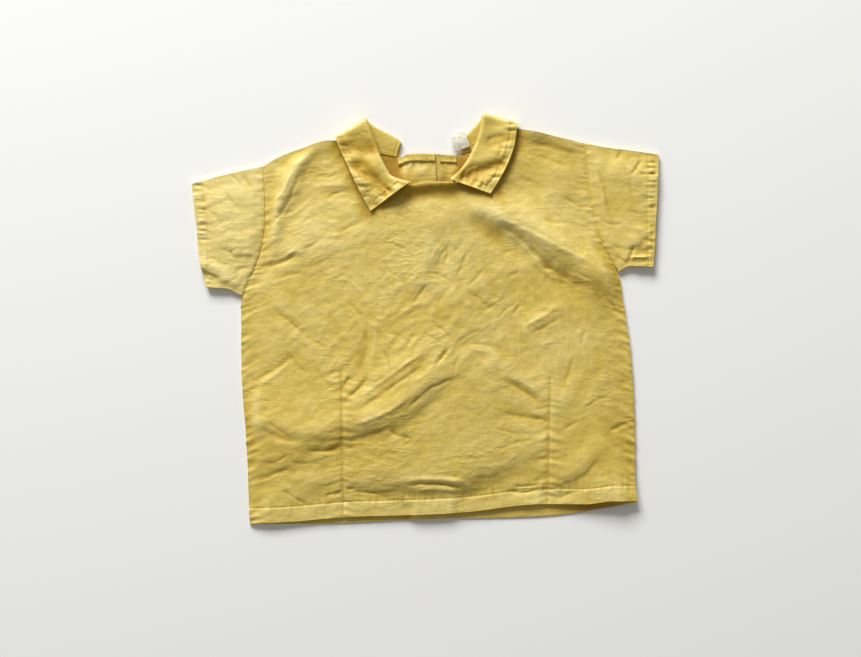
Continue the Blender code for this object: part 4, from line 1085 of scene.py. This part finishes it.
def panel_grid(left, right, hem, top, columns, rows):
    """x, y and share across of a panel between its side curves (y, x) and its hem and top curves (x, y).

    The rows are closer together at the hem's edge and along its stitched groove.
    """
    u = np.linspace(0, 1, columns + 1)[None, :]
    even = np.linspace(0, 1, 2001)
    dense = 1 + 2.2 * ridge(even - HEM / 300.0, 0.012) + 1.2 * ridge(even, 0.01)
    filled = np.concatenate([[0.0], np.cumsum((dense[1:] + dense[:-1]) / 2)])
    v = np.interp(np.linspace(0, filled[-1], rows + 1), filled, even)[:, None]
    x = (1 - u) * smooth(left, along_keys(left, v)) + u * smooth(right, along_keys(right, v))
    hem_x = left[0][1] + (right[0][1] - left[0][1]) * u
    top_x = left[-1][1] + (right[-1][1] - left[-1][1]) * u
    y = (1 - v) * smooth(hem, hem_x) + v * smooth(top, top_x)
    return x, y, u


def half_gap(side, arm, y):
    """Half of what is left between the front's side and a sleeve's armhole edge, for closing the seam."""
    low, high = arm[0][0] + 2.0, arm[-1][0]
    gap = np.abs(smooth(arm, y) - smooth(side, y)) / 2 - 0.03
    return gap * ease((y - low) / 4.0) * ease((high + 1.0 - y) / 2.0)


# Where the front is painted paler as lit (more than 0) or darker as shaded (less than 0): x, y, reach across
# and up, strength.
FRONT_LIGHT_AND_SHADE = (
    (-95, 85, 60, 55, 0.16), (100, 78, 45, 26, 0.22), (132, 22, 34, 20, -0.20), (-95, -108, 50, 16, -0.18),
    (15, 60, 50, 38, 0.14), (115, -25, 45, 40, 0.14),
)


def front_tone_and_shade(x, y):
    """How much paler the front is painted at x, y: painted light and shade in patches, painted shade towards
    the lower right, below the neck's rim and under the collar's edges, and a little paler over the turned
    hem.
    """
    # Painted light and shade in patches, and painted shade towards the lower right.
    tone_shift = shaded(FRONT_LIGHT_AND_SHADE, x, y) - 0.10 * ease((x - 60) / 110) * ease((40 - y) / 90)
    in_hem = ease((HEM + 0.6 - y + smooth(HEM_FRONT, x)) / 1.2)
    near_top = smooth(TOP_FRONT, x) - y
    # Painted shade in a band below the neck's rim.
    rim = ease((x + 22) / 9.0) * ease((30 - x) / 9.0) * ridge(near_top - 4.5, 4.6)
    tone_shift = tone_shift + 0.14 * in_hem - 0.75 * rim
    # Painted shadow under each collar leaf's front end and outer edge.
    for leaf, reach in ((COLLAR_LEFT, 6.5), (COLLAR_RIGHT, 6.0)):
        edge = [(row.edge_x, row.edge_y) for row in leaf if row.turn > 10]
        edge.insert(0, (leaf[0].roll_x, leaf[0].roll_y))
        tone_shift = tone_shift - 0.72 * ridge(from_line(edge, x, y)[0], reach)
    return tone_shift


def make_front():
    """The front, whose sides close on the sleeves' armholes and waver below them."""
    x, y, u = panel_grid(SIDE_LEFT, SIDE_RIGHT, HEM_FRONT, TOP_FRONT, FRONT_COLUMNS, FRONT_ROWS)
    z = front_top(x, y)
    wide = x[:, -1:] - x[:, :1]
    by_left, by_right = ease(1 - u * wide / 7.0), ease(1 - (1 - u) * wide / 7.0)
    free = ease((20 - y) / 12.0)
    sway = 0.5 * free * noise(y, x * 0, 8.0, 91) * (by_left - by_right)
    sway = sway - by_left * half_gap(SIDE_LEFT, SLEEVE_LEFT_ARM, y)
    sway = sway + by_right * half_gap(SIDE_RIGHT, SLEEVE_RIGHT_ARM, y)
    piece = put_panel("front_cloth", stack(x + sway, y, z), cloth, wear_and_shade_of(z) + front_tone_and_shade(x, y))
    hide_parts("front_panel")


# Painted shade on the backs' inner face, in the neck under the collar and the front and under the front's
# lifted hem corner: x, y, reach across and up, strength.
INNER_SHADE = (
    (142, -154, 34, 5, 0.5), (-34, 124, 12, 13, 0.75), (-20, 110, 12, 7, 0.6), (31, 124, 7, 12, 0.65),
    (0, 103, 40, 10, 0.3),
)


def make_backs():
    """Two backs, cut from one outline at the placket edges."""
    v = np.linspace(0, 1, BACK_ROWS + 1)[:, None]
    u = np.linspace(0, 1, BACK_COLUMNS + 1)[None, :]
    left_x = smooth(SIDE_LEFT, along_keys(SIDE_LEFT, v))
    right_x = smooth(SIDE_RIGHT, along_keys(SIDE_RIGHT, v))
    middle = button_x(along_keys(BUTTON_LINE, v))
    bump_x, bump_y = button_centres()[0]
    sides = (
        ("left", left_x, middle + PLACKET_OVERLAP, back_left_floor, 130),
        ("right", middle - PLACKET_OVERLAP, right_x, under_back, 150),
    )
    for side, x0, x1, floor, seed in sides:
        x = (1 - u) * x0 + u * x1
        y = (1 - v) * smooth(HEM_BACK, x[:1, :]) + v * smooth(TOP_BACK, x[-1:, :])
        from_top, from_hem = smooth(TOP_BACK, x) - y, y - smooth(HEM_BACK, x)
        from_side = np.minimum(np.abs(x - x0), np.abs(x1 - x))
        relief = crease_height(BACK_CREASES, x, y, seed) + 0.5 * np.maximum(crumple(x, y, seed + 5), 0)
        inward = ease(from_side / 10.0) * ease(from_hem / 14.0) * ease(from_top / 30.0)
        z = floor(x, y) + np.maximum(relief, 0) * inward
        # The inner face shows in the neck, with the top button's bump and puckers under the binding.
        inside = 1.5 * ridge(np.hypot(x - bump_x, y - bump_y), 4.4)
        inside = inside + 0.9 * crumple(x, y, seed + 8) * ease((y - 95) / 10.0)
        inside = inside + puckers(x, from_top - 7.0, seed + 9, 5.4, 9.0, 2.6, 0.4) * ease((y - 106) / 8.0)
        inside = np.maximum(inside, -0.35) * ease((from_top - 6.6) / 2.0)
        # Painted shade: the inner face is painted darker by INNER_SHADE and in its troughs, and paler on its
        # raised bumps.
        wear_and_shade = wear_and_shade_of(z, 0.50) + 0.22 * inside - shaded(INNER_SHADE, x, y)
        if side == "right":
            inside = inside * ease((x - button_x(y) - PLACKET_OVERLAP - 1.0) / 3.0)
        upper, lower = stack(x, y, z + WALL + inside), stack(x, y, z)
        piece = put_wall(f"back_cloth_{side}", upper, lower, shaded_inside_cloth, np.clip(wear_and_shade, 0, 1))
        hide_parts(f"back_panel_{side}")


def sleeve_grid(lower, upper, arm, cuff, columns, rows):
    """x, y of a sleeve between its four edges. Columns run up it and rows run out along it."""
    s = np.linspace(0, 1, rows + 1)[:, None]
    a = np.linspace(0, 1, columns + 1)[None, :]

    def edge(points, t, key_first):
        keys = points[0][0] + (points[-1][0] - points[0][0]) * t
        order = points if points[0][0] < points[-1][0] else tuple(reversed(points))
        values = smooth(order, keys)
        return (keys, values) if key_first else (values, keys)

    low_x, low_y = edge(lower, s, True)
    up_x, up_y = edge(upper, s, True)
    arm_x, arm_y = edge(arm, a, False)
    cuff_x, cuff_y = edge(cuff, a, False)

    def blend(low, up, inner, outer):
        corners = (1 - s) * ((1 - a) * low[0] + a * up[0]) + s * ((1 - a) * low[-1] + a * up[-1])
        return (1 - a) * low + a * up + (1 - s) * inner + s * outer - corners

    return blend(low_x, up_x, arm_x, cuff_x), blend(low_y, up_y, arm_y, cuff_y), s, a


def make_sleeve(side, edges, folds, swells, creases, lift, hem, level, seed):
    """A flattened tube: the upper layer is folded into the lower one at both long edges.

    edges are its lower, upper, armhole and cuff edges, and level is how pale it is painted: higher for the
    lit left sleeve, lower for the shaded right one.
    """
    x, y, s, a = sleeve_grid(*edges, SLEEVE_COLUMNS, SLEEVE_ROWS)
    high = np.hypot(x[:, -1:] - x[:, :1], y[:, -1:] - y[:, :1])
    near_edge = np.minimum(a, 1 - a) * high
    from_arm = s * SLEEVE_LENGTH
    from_cuff = (1 - s) * SLEEVE_LENGTH
    body_side, outward = (SIDE_LEFT, -1) if side == "left" else (SIDE_RIGHT, 1)
    x = x - outward * half_gap(body_side, edges[2], y) * ease(1 - from_arm / 7.0)
    near_arm = ease(from_arm / SEAM_FLAT)
    height = SLEEVE_LOFT * ease(near_edge / SLEEVE_REACH) * (0.35 + 0.65 * near_arm)
    folded = FOLD_SHARE * fold_height(folds, x, y) + swell_height(swells, x, y, seed + 11)
    height = height + folded * ease(near_edge / 7.0) * near_arm
    relief = crease_height(creases, x, y, seed) + 0.8 * crumple(x, y, seed + 3)
    relief = relief * ease(near_edge / 5.0 + 0.1) * ease(from_arm / 4.0) - 0.6 * ridge(from_arm, 1.6)
    relief = relief + puckers(y, from_arm, seed + 5, 5.6, 6.0, 1.0) * ease(near_edge / 6.0)
    relief = relief + HEM_PLY * ease((hem + 0.5 - from_cuff) / 1.2)
    relief = relief - 0.45 * ridge(from_cuff - hem + 0.5, 0.8)
    gathers = puckers(y, from_cuff - 0.6 * hem, seed + 7, 4.8, 5.5, 1.6)
    relief = relief + gathers * ease(from_cuff / 1.5 + 0.3)
    raised = lift_height((lift,), x, y)
    top = 2 * WALL + 2 * GAP + raised + np.maximum(rise_above(height) + relief, -0.15)
    inward = ease(near_edge / 6.0) * ease(from_cuff / 6.0) * ease(from_arm / 6.0)
    under = 0.35 * np.maximum(crumple(x, y, seed + 9), 0) * inward + raised
    inner_x, inner_y = x.copy(), y.copy()
    for column, way in ((0, 1), (-1, -1)):
        inner_x[:, column] += way * ((x[:, -1:] - x[:, :1]) / high * WALL)[:, 0]
        inner_y[:, column] += way * ((y[:, -1:] - y[:, :1]) / high * WALL)[:, 0]

    def tube(at_x, at_y, upper, lower):
        return np.concatenate([stack(at_x, at_y, upper), stack(at_x, at_y, lower)[:, ::-1]], axis=1)

    outer, inner = tube(x, y, top, under), tube(inner_x, inner_y, top - WALL, under + WALL)
    wear_and_shade = wear_and_shade_of(top, level)
    wear_and_shade = np.concatenate([wear_and_shade, wear_and_shade[:, ::-1]], axis=1)
    piece = put_wall(f"sleeve_cloth_{side}", outer, inner, cloth, wear_and_shade, ring=True)
    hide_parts(f"sleeve_{side}")


def leaf_sections(sections, count):
    """The section table read at count places, evenly along the leaf's outer edge."""
    rows = np.array(sections, dtype=float)
    steps = np.hypot(np.diff(rows[:, 4]), np.diff(rows[:, 5])) + 0.25 * np.abs(np.diff(rows[:, 6])) * 0.12
    at = np.concatenate([[0.0], np.cumsum(np.maximum(steps, 2.2))])
    places = np.linspace(0, at[-1], count)
    return np.stack([smooth(list(zip(at, rows[:, c])), places) for c in range(rows.shape[1])], axis=1)


def collar_middle(sections, count):
    """Middle face of a leaf: a row for each section, from the seam over the roll to the outer edge."""
    grid = []
    for seam_x, seam_y, roll_x, roll_y, edge_x, edge_y, turn in leaf_sections(sections, count):
        seam, roll, edge = (np.array(p) for p in ((seam_x, seam_y), (roll_x, roll_y), (edge_x, edge_y)))
        angle = radians(turn)
        up = (1 + sin(angle)) / 2
        front = float(smooth_front_top(seam_x, seam_y - 2.0))
        seam_z = up * (front - WALL / 2) + (1 - up) * (COLLAR_WALL + GAP + WALL / 2 + 0.2)
        over = float(smooth_front_top(edge_x, edge_y - 1.0))
        edge_z = up * (over + GAP + COLLAR_WALL / 2 + 0.25) + (1 - up) * COLLAR_WALL / 2
        radius = up * ROLL_RADIUS_FRONT + (1 - up) * ROLL_RADIUS_BACK
        roll_z = up * (front + ROLL_RISE + radius) + (1 - up) * (COLLAR_WALL / 2 + radius)
        toward = (seam - roll) / np.hypot(*(seam - roll)) + (edge - roll) / np.hypot(*(edge - roll))
        tip = np.array([*(-toward / np.hypot(*toward)), 0.0])
        out = np.array([-(roll - edge)[1], (roll - edge)[0]])
        out = out / np.hypot(*out) * np.sign(np.dot(out, roll - np.array([0.0, 100.0])) or 1.0)
        side = np.array([*(out * cos(angle)), sin(angle)])
        wrap = 2.6 * (1 - cos(angle)) if abs(turn) < 89 else 0.0
        seam3 = np.array([*(seam - out * 0.3 * wrap), seam_z])
        roll3 = np.array([*(roll - tip[:2] * radius - out * cos(angle) * radius), roll_z])
        edge3 = np.array([*edge, edge_z])
        path = [seam3 + (roll3 - side * radius - seam3) * k / STAND_STEPS for k in range(STAND_STEPS)]
        for k in range(ROLL_STEPS + 1):
            t = pi * k / ROLL_STEPS
            path.append(roll3 + radius * (tip * sin(t) - side * cos(t)))
        start = path[-1]
        for k in range(1, FALL_STEPS + 1):
            t = k / FALL_STEPS
            point = start + (edge3 - start) * t
            point[2] = start[2] + (edge3[2] - start[2]) * (t * (2 - t))
            path.append(point)
        grid.append(path)
    return np.array(grid)


def smooth_front_top(x, y):
    """Upper face of the front without its fine relief, for what lies on it."""
    x, y = np.asarray(x, dtype=float), np.asarray(y, dtype=float)
    return WALL + front_floor(x, y, *front_edges(x, y))


def offset_both(middle, half):
    """The two faces of a wall, half its thickness either way from its middle face."""
    normal = np.cross(np.gradient(middle, axis=0), np.gradient(middle, axis=1))
    normal = normal / np.linalg.norm(normal, axis=-1, keepdims=True)
    return middle + normal * half, middle - normal * half


EDGE_LIFT_LEFT = 3.4      # how far a leaf's outer edge stands off the front
EDGE_LIFT_RIGHT = 4.4
TIP_REACH = 26.0          # how far from its front end a leaf takes to stand off so
COLLAR_LIFTS = (Lift(-23, 102, 11, 5.2), Lift(38, 107, 10, 1.0), Lift(-46, 120, 16, 1.6))
COLLAR_SWELLS = (
    Swell(6.0, 5.0, 5.0, -3.4, ((-60, 134), (-52, 125), (-45, 116), (-38, 109), (-30, 103), (-22, 99))),
    Swell(8.0, 3.2, 3.2, -2.2, ((-84, 139), (-70, 137.6), (-58, 137.4), (-46, 137), (-34, 137))),
    Swell(5.0, 5.0, 6.0, -3.0, ((20, 108), (28, 112.6), (38, 117.6), (48, 122), (60, 126), (72, 130))),
    Swell(6.0, 5.0, 5.0, -1.0, ((44, 140), (54, 142), (64, 146), (76, 152))),
)
COLLAR_CREASES = creases_of(
    (2.4, -0.8, -58, 124, -52, 119, -46, 116),
    (2.0, 0.7, -60, 120, -54, 115, -48, 111),
    (2.0, -0.8, -72, 134.5, -64, 134, -54, 132.6),
    (1.8, -0.7, -70, 130, -64, 129, -60, 126),
    (1.8, -0.9, -36, 100, -30, 101.6, -24, 104.6),
    (1.5, 1.0, -35, 106.5, -32, 103.6, -29, 101),
    (1.4, -0.9, -33, 108, -30, 105, -27, 102),
    (1.5, -0.7, -42, 93, -38, 96, -33, 98),
    (3.0, 0.7, 44, 109, 52, 116, 60, 126),
    (2.4, -0.7, 48, 146, 56, 150, 66, 152),
    (2.0, -0.7, 58, 130, 62, 138, 63, 146),
    (1.8, -0.8, 36, 107, 42, 108, 48, 111),
    (1.6, -0.7, 62, 120, 66, 128, 68, 137),
    (1.6, -0.6, 30, 120, 36, 125, 44, 128),
)


def make_collar(side, sections, edge_lift, seed):
    """A leaf, lying on the front before the shoulder and under the back behind it."""
    middle = collar_middle(sections, COLLAR_STATIONS)
    turns = leaf_sections(sections, COLLAR_STATIONS)[:, 6]
    fall = np.zeros(middle.shape[:2])
    fall[:, STAND_STEPS + 6:] = 1.0
    on_front = fall * ease((turns - 10) / 40.0)[:, None]
    x, y = middle[..., 0].copy(), middle[..., 1].copy()
    over = front_top(x, y) + GAP + COLLAR_WALL / 2 + 0.1
    run = np.cumsum(np.pad(np.linalg.norm(np.diff(middle, axis=1), axis=2), ((0, 0), (1, 0))), axis=1)
    steps = np.linalg.norm(np.diff(middle[:, -1], axis=0), axis=1)
    along = np.concatenate([[0.0], np.cumsum(steps)])[:, None]
    from_edge = run[:, -1:] - run
    from_front = along + 0 * run
    from_back = along[-1] - along + 0 * run
    border = np.minimum(np.minimum(from_edge, from_front), from_back)
    lift = edge_lift * ease((run / run[:, -1:] - 0.25) / 0.6) * (0.3 + 0.7 * ease(along / TIP_REACH))
    lift = lift * (0.85 + 0.4 * noise(x, y, 17.0, seed + 9)) + lift_height(COLLAR_LIFTS, x, y)
    relief = 0.9 * crumple(x, y, seed) + 1.2 * crease_height(COLLAR_CREASES, x, y, seed + 40)
    swells = swell_height(COLLAR_SWELLS, x, y, seed + 20)
    relief = (relief + swells) * ease(border / 5.0 + 0.2) - 0.5 * ridge(border - COLLAR_STITCH, 0.8)
    round_edge = np.where(from_edge < from_front, along, run)
    relief = relief + puckers(round_edge, border - 4.0, seed + 3, 5.2, 5.5, 2.4, 0.3)
    lifted = np.maximum(middle[..., 2] + lift + relief, over)
    behind_relief = 0.3 * np.maximum(relief, -0.8) * (1 - fall)
    middle[..., 2] = (middle[..., 2] + behind_relief) * (1 - on_front) + lifted * on_front
    height = middle[..., 2]
    outer, inner = offset_both(middle, COLLAR_WALL / 2)
    hollow = (height - blur(height, 10)) * on_front
    # Painted shade in the leaf's hollows, valleys and troughs, and paler wear along its edges.
    wear_and_shade = 0.5 + 0.40 * hollow + 0.10 * relief + 0.13 * swells + 0.20 * ridge(border, 1.6)
    piece = put_wall(f"collar_cloth_{side}", outer, inner, cloth, np.clip(wear_and_shade, 0.02, 0.98))
    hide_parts(f"collar_{side}")

    # Stitches: along the outer edge, across the front end, and two rows by the seam at the back.
    top = np.maximum(outer, inner) * (0, 0, 1) + (outer + inner) / 2 * (1, 1, 0)

    def across(i, keys, at):
        return [np.interp(at, keys, top[i, :, k]) for k in range(3)]

    front_end = int(np.searchsorted(along[:, 0], 5.6))
    columns = [c for c in range(STAND_STEPS + ROLL_STEPS, middle.shape[1]) if from_edge[front_end, c] > 5.0]
    rows = [
        [across(i, -from_edge[i], -5.6) for i in np.nonzero((turns > 55) & (along[:, 0] > 5.6))[0]],
        [top[front_end, c] for c in columns],
    ]
    behind = [i for i in np.nonzero(turns < -70)[0] if from_back[i, 0] > 2.0]
    rows += [[across(i, run[i], depth) for i in behind] for depth in (1.6, 4.6)]
    for number, points in enumerate(rows):
        points = np.array(points) + (0, 0, 0.12)
        stitch_line(f"collar_cloth_{side}_stitches_{number + 1}", points, 2.5, 1.6, 0.4, seed + 60 + number)


def make_front_binding():
    """The bound neck edge between the collar's front ends, under the front's own edge."""
    x = np.linspace(-10.5, 18.5, 41)[None, :] + np.zeros((13, 1))
    depth = np.linspace(-FRONT_BINDING_WIDTH, 1.4, 13)[:, None]
    edge = smooth(TOP_FRONT, x)
    y = edge + depth
    under = front_top(x, np.minimum(y, edge)) - WALL - GAP
    roll = 0.5 * ease((depth + 0.6) / 1.8)
    under = under - roll
    # Painted shade: the band is darker than the cloth's middle, lying under the front's edge.
    wear_and_shade = np.full(x.shape, 0.35) + 0.1 * noise(x, y, 5.0, 210)
    upper, lower = stack(x, y, under), stack(x, y, under - BINDING_WALL)
    piece = put_wall("front_neck_band", upper, lower, shaded_inside_cloth, wear_and_shade)
    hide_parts("neck_binding_front")


def make_back_bindings():
    """The bound back neck, a strip on each back's inner face, with a raised stitched edge."""
    for side, x0, x1, rest in (("left", -22.5, 7.6, back_left_floor), ("right", 11.6, 25.5, under_back)):
        x = np.linspace(x0, x1, 41)[None, :] + np.zeros((13, 1))
        depth = np.linspace(-BACK_BINDING_WIDTH, -0.3, 13)[:, None]
        y = smooth(TOP_BACK, x) + depth
        low = rest(x, y) + WALL + LAY_GAP
        relief = 0.35 * ridge(depth + 0.9, 0.7) + 0.35 * ridge(depth + 5.2, 0.7)
        relief = relief + puckers(x, depth + 3.0, 220, 3.8, 6.0, 1.8, 0.4)
        # Painted shade in the troughs of the puckers, and paler raised edges.
        wear_and_shade = 0.5 + 0.25 * relief + 0.1 * noise(x, y, 5.0, 214)
        upper, lower = stack(x, y, low + BINDING_WALL + np.maximum(relief, 0)), stack(x, y, low)
        piece = put_wall(f"back_neck_band_{side}", upper, lower, cloth, wear_and_shade)
        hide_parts(f"neck_binding_back_{side}")


def make_label():
    """A blank tape, folded into a flat loop and caught in the back neck seam."""
    lean, ply, length = radians(-20), 0.42, 13.4
    path, heights = [], []
    for along in np.linspace(0.0, length, 15):
        path.append(along)
        heights.append(0.5 * sin(along / length * pi))
    for turn in np.linspace(0, pi, 7)[1:-1]:
        path.append(length + 0.55 * sin(turn))
        heights.append(0.5 - 0.5 * cos(turn))
    for along in np.linspace(length, 0.0, 15):
        path.append(along)
        heights.append(1.0 + 0.75 * sin(along / length * pi))
    along = np.array(path)[:, None]
    points, faces, wears = [], [], []
    for start, end, lift, slide in ((-6.5, -2.0, 0.5, -1.2), (-1.0, 6.5, 0.0, 0.0)):
        across = np.linspace(start, end, 9)[None, :]
        reach = np.maximum(along + slide * along / length, 0)
        x = 30.5 + across * cos(lean) + reach * sin(lean)
        y = 139.4 - across * sin(lean) + reach * cos(lean)
        z = 3.75 + np.array(heights)[:, None] + lift * along / length
        z = z + 0.04 * across + 0.12 * noise(x, y, 6.0, 230)
        outer, inner = offset_both(stack(x, y, z), ply / 2)
        more, sides = wall_faces(outer, inner, False)
        faces += [[i + len(points) for i in face] for face in sides]
        points += more.tolist()
        wears += [0.55] * len(more)
    piece = put_mesh("neck_tape", points, faces, tape, wears)
    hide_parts("neck_label")


def stitch_line(name, points, pitch=3.0, length=2.2, width=0.42, seed=0):
    """A row of stitches along a line of points, as small rounded dashes joined in one mesh."""
    points = np.asarray(points, dtype=float)
    run = np.concatenate([[0.0], np.cumsum(np.linalg.norm(np.diff(points, axis=0), axis=1))])
    rng = np.random.default_rng(seed)
    verts, faces = [], []
    start = 0.4
    while start + length < run[-1]:
        size = length * rng.uniform(0.9, 1.06)
        places = start + size * np.array((0.0, 0.33, 0.67, 1.0))
        ends = np.stack([np.interp(places, run, points[:, k]) for k in range(3)], axis=1)
        way = ends[-1] - ends[0]
        way = way / np.linalg.norm(way)
        side = np.cross((0, 0, 1.0), way)
        side = side / np.linalg.norm(side)
        up = np.cross(way, side)
        base = len(verts)
        for centre, part in zip(ends, (0.45, 1.0, 1.0, 0.45)):
            centre = centre - up * (1 - part) * width * 0.4
            for k in range(6):
                t = 2 * pi * k / 6
                verts.append(centre + width / 2 * part * (side * cos(t) + up * sin(t)))
        for ring in range(3):
            for k in range(6):
                a, b = base + ring * 6 + k, base + ring * 6 + (k + 1) % 6
                faces.append([a, b, b + 6, a + 6])
        faces.append([base + k for k in range(6)])
        faces.append([base + 18 + k for k in range(6)])
        start += pitch * rng.uniform(0.94, 1.06)
    return put_mesh(name, verts, faces, thread, np.full(len(verts), 0.5))


def on_front(x, y, lift=0.08):
    return stack(x, y, front_top(x, y) + lift)


def make_stitches():
    """Stitches of the hem and the darts."""
    x = np.linspace(-143.6, 172.8, 320)
    stitch_line("hem_stitches", on_front(x, smooth(HEM_FRONT, x) + HEM + 0.1, 0.03), 3.0, 1.8, 0.36, 1)
    for number, points in enumerate(DARTS):
        y = np.linspace(points[0][1], points[-1][1] + 2.0, 160)
        seam = on_front(dart_line(points, y), y, 0.25)
        stitch_line(f"dart_stitches_{number + 1}", seam, 2.6, 1.5, 0.6, 5 + number)


def make_button(name, node, x, y):
    """A dished button, outer face on the floor."""
    sides = 40
    outer_face = ((0.60, 0.50), (0.68, 0.40), (0.76, 0.08), (0.84, 0.0), (0.92, 0.02), (0.985, 0.3))
    inner_face = ((1.0, 0.45), (0.985, 0.7), (0.93, 0.96), (0.84, 1.0))
    profile = [(1.0, 0.55)] + [(BUTTON_RADIUS * part, height) for part, height in outer_face]
    profile += [(BUTTON_RADIUS * part, BUTTON_THICK * high) for part, high in inner_face]
    profile.append((1.0, BUTTON_THICK))
    turns = np.linspace(0, 2 * pi, sides, endpoint=False)
    points = [(x, y, 0.55), (x, y, BUTTON_THICK)]
    for radius, height in profile:
        points += [(x + radius * cos(t), y + radius * sin(t), height) for t in turns]
    faces = []
    for i in range(sides):
        j = (i + 1) % sides
        faces.append([0, 2 + j, 2 + i])
        for ring in range(len(profile) - 1):
            a, b = 2 + ring * sides, 2 + (ring + 1) * sides
            faces.append([a + i, a + j, b + j, b + i])
        last = 2 + (len(profile) - 1) * sides
        faces.append([1, last + i, last + j])
    piece = put_mesh(name, points, faces, shell)
    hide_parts(node)
    return piece


shell_nodes = Nodes("button_shell_finish")
material_input(shell_nodes.shader, "Base Color", (0.72, 0.62, 0.40, 1.0))
material_input(shell_nodes.shader, "Roughness", 0.32)
shell = shell_nodes.material

make_front()
make_backs()
# The sleeves' levels paint the left one paler as lit and the right one darker as shaded.
make_sleeve(
    "left", (SLEEVE_LEFT_LOWER, SLEEVE_LEFT_UPPER, SLEEVE_LEFT_ARM, SLEEVE_LEFT_CUFF),
    SLEEVE_LEFT_FOLDS, SLEEVE_LEFT_SWELLS, SLEEVE_LEFT_CREASES, Lift(-172, 22, 15, 2.0),
    hem=9.0, level=0.86, seed=400,
)
make_sleeve(
    "right", (SLEEVE_RIGHT_LOWER, SLEEVE_RIGHT_UPPER, SLEEVE_RIGHT_ARM, SLEEVE_RIGHT_CUFF),
    SLEEVE_RIGHT_FOLDS, SLEEVE_RIGHT_SWELLS, SLEEVE_RIGHT_CREASES, Lift(180, 40, 16, 2.6),
    hem=8.5, level=0.62, seed=430,
)
make_collar("left", COLLAR_LEFT, EDGE_LIFT_LEFT, 460)
make_collar("right", COLLAR_RIGHT, EDGE_LIFT_RIGHT, 480)
make_front_binding()
make_back_bindings()
make_label()
for number, (button_at_x, button_at_y) in enumerate(button_centres(), 1):
    make_button(f"button_disc_{number}", f"button_{number}", button_at_x, button_at_y)
make_stitches()


def make_stage():
    """A pale floor, a soft window light from above the neck, and a camera straight overhead."""
    bpy.ops.mesh.primitive_plane_add(size=6.0, location=(0, 0, -0.0002))
    floor = bpy.context.object
    floor.name = "floor"
    n = Nodes("pale_backdrop")
    material_input(n.shader, "Base Color", (0.87, 0.885, 0.905, 1.0))
    material_input(n.shader, "Roughness", 0.9)
    material_input(n.shader, "Specular IOR Level", 0.1)
    floor.data.materials.append(n.material)
    world = bpy.data.worlds.new("room")
    world.use_nodes = True
    background = world.node_tree.nodes["Background"]
    background.inputs["Color"].default_value = ROOM_COLOUR
    background.inputs["Strength"].default_value = ROOM_STRENGTH
    bpy.context.scene.world = world
    light = bpy.data.lights.new("window", "AREA")
    light.shape = "RECTANGLE"
    light.size, light.size_y = WINDOW_SIZE
    light.energy = WINDOW_ENERGY
    light.color = WINDOW_COLOUR
    lamp = bpy.data.objects.new("window", light)
    bpy.context.scene.collection.objects.link(lamp)
    lamp.location = WINDOW_PLACE
    lamp.rotation_euler = (Vector((0, 0, 0)) - lamp.location).to_track_quat("-Z", "Y").to_euler()
    eye = bpy.data.cameras.new("camera")
    eye.lens = LENS
    eye.sensor_width = SENSOR
    camera = bpy.data.objects.new("camera", eye)
    bpy.context.scene.collection.objects.link(camera)
    shift_x, shift_y = root_shift * MM
    camera.location = (CAMERA_PLACE[0] + shift_x, CAMERA_PLACE[1] + shift_y, CAMERA_PLACE[2])
    camera.rotation_euler = (0, 0, 0)
    bpy.context.scene.camera = camera
    bpy.context.scene.view_settings.view_transform = "Standard"


make_stage()
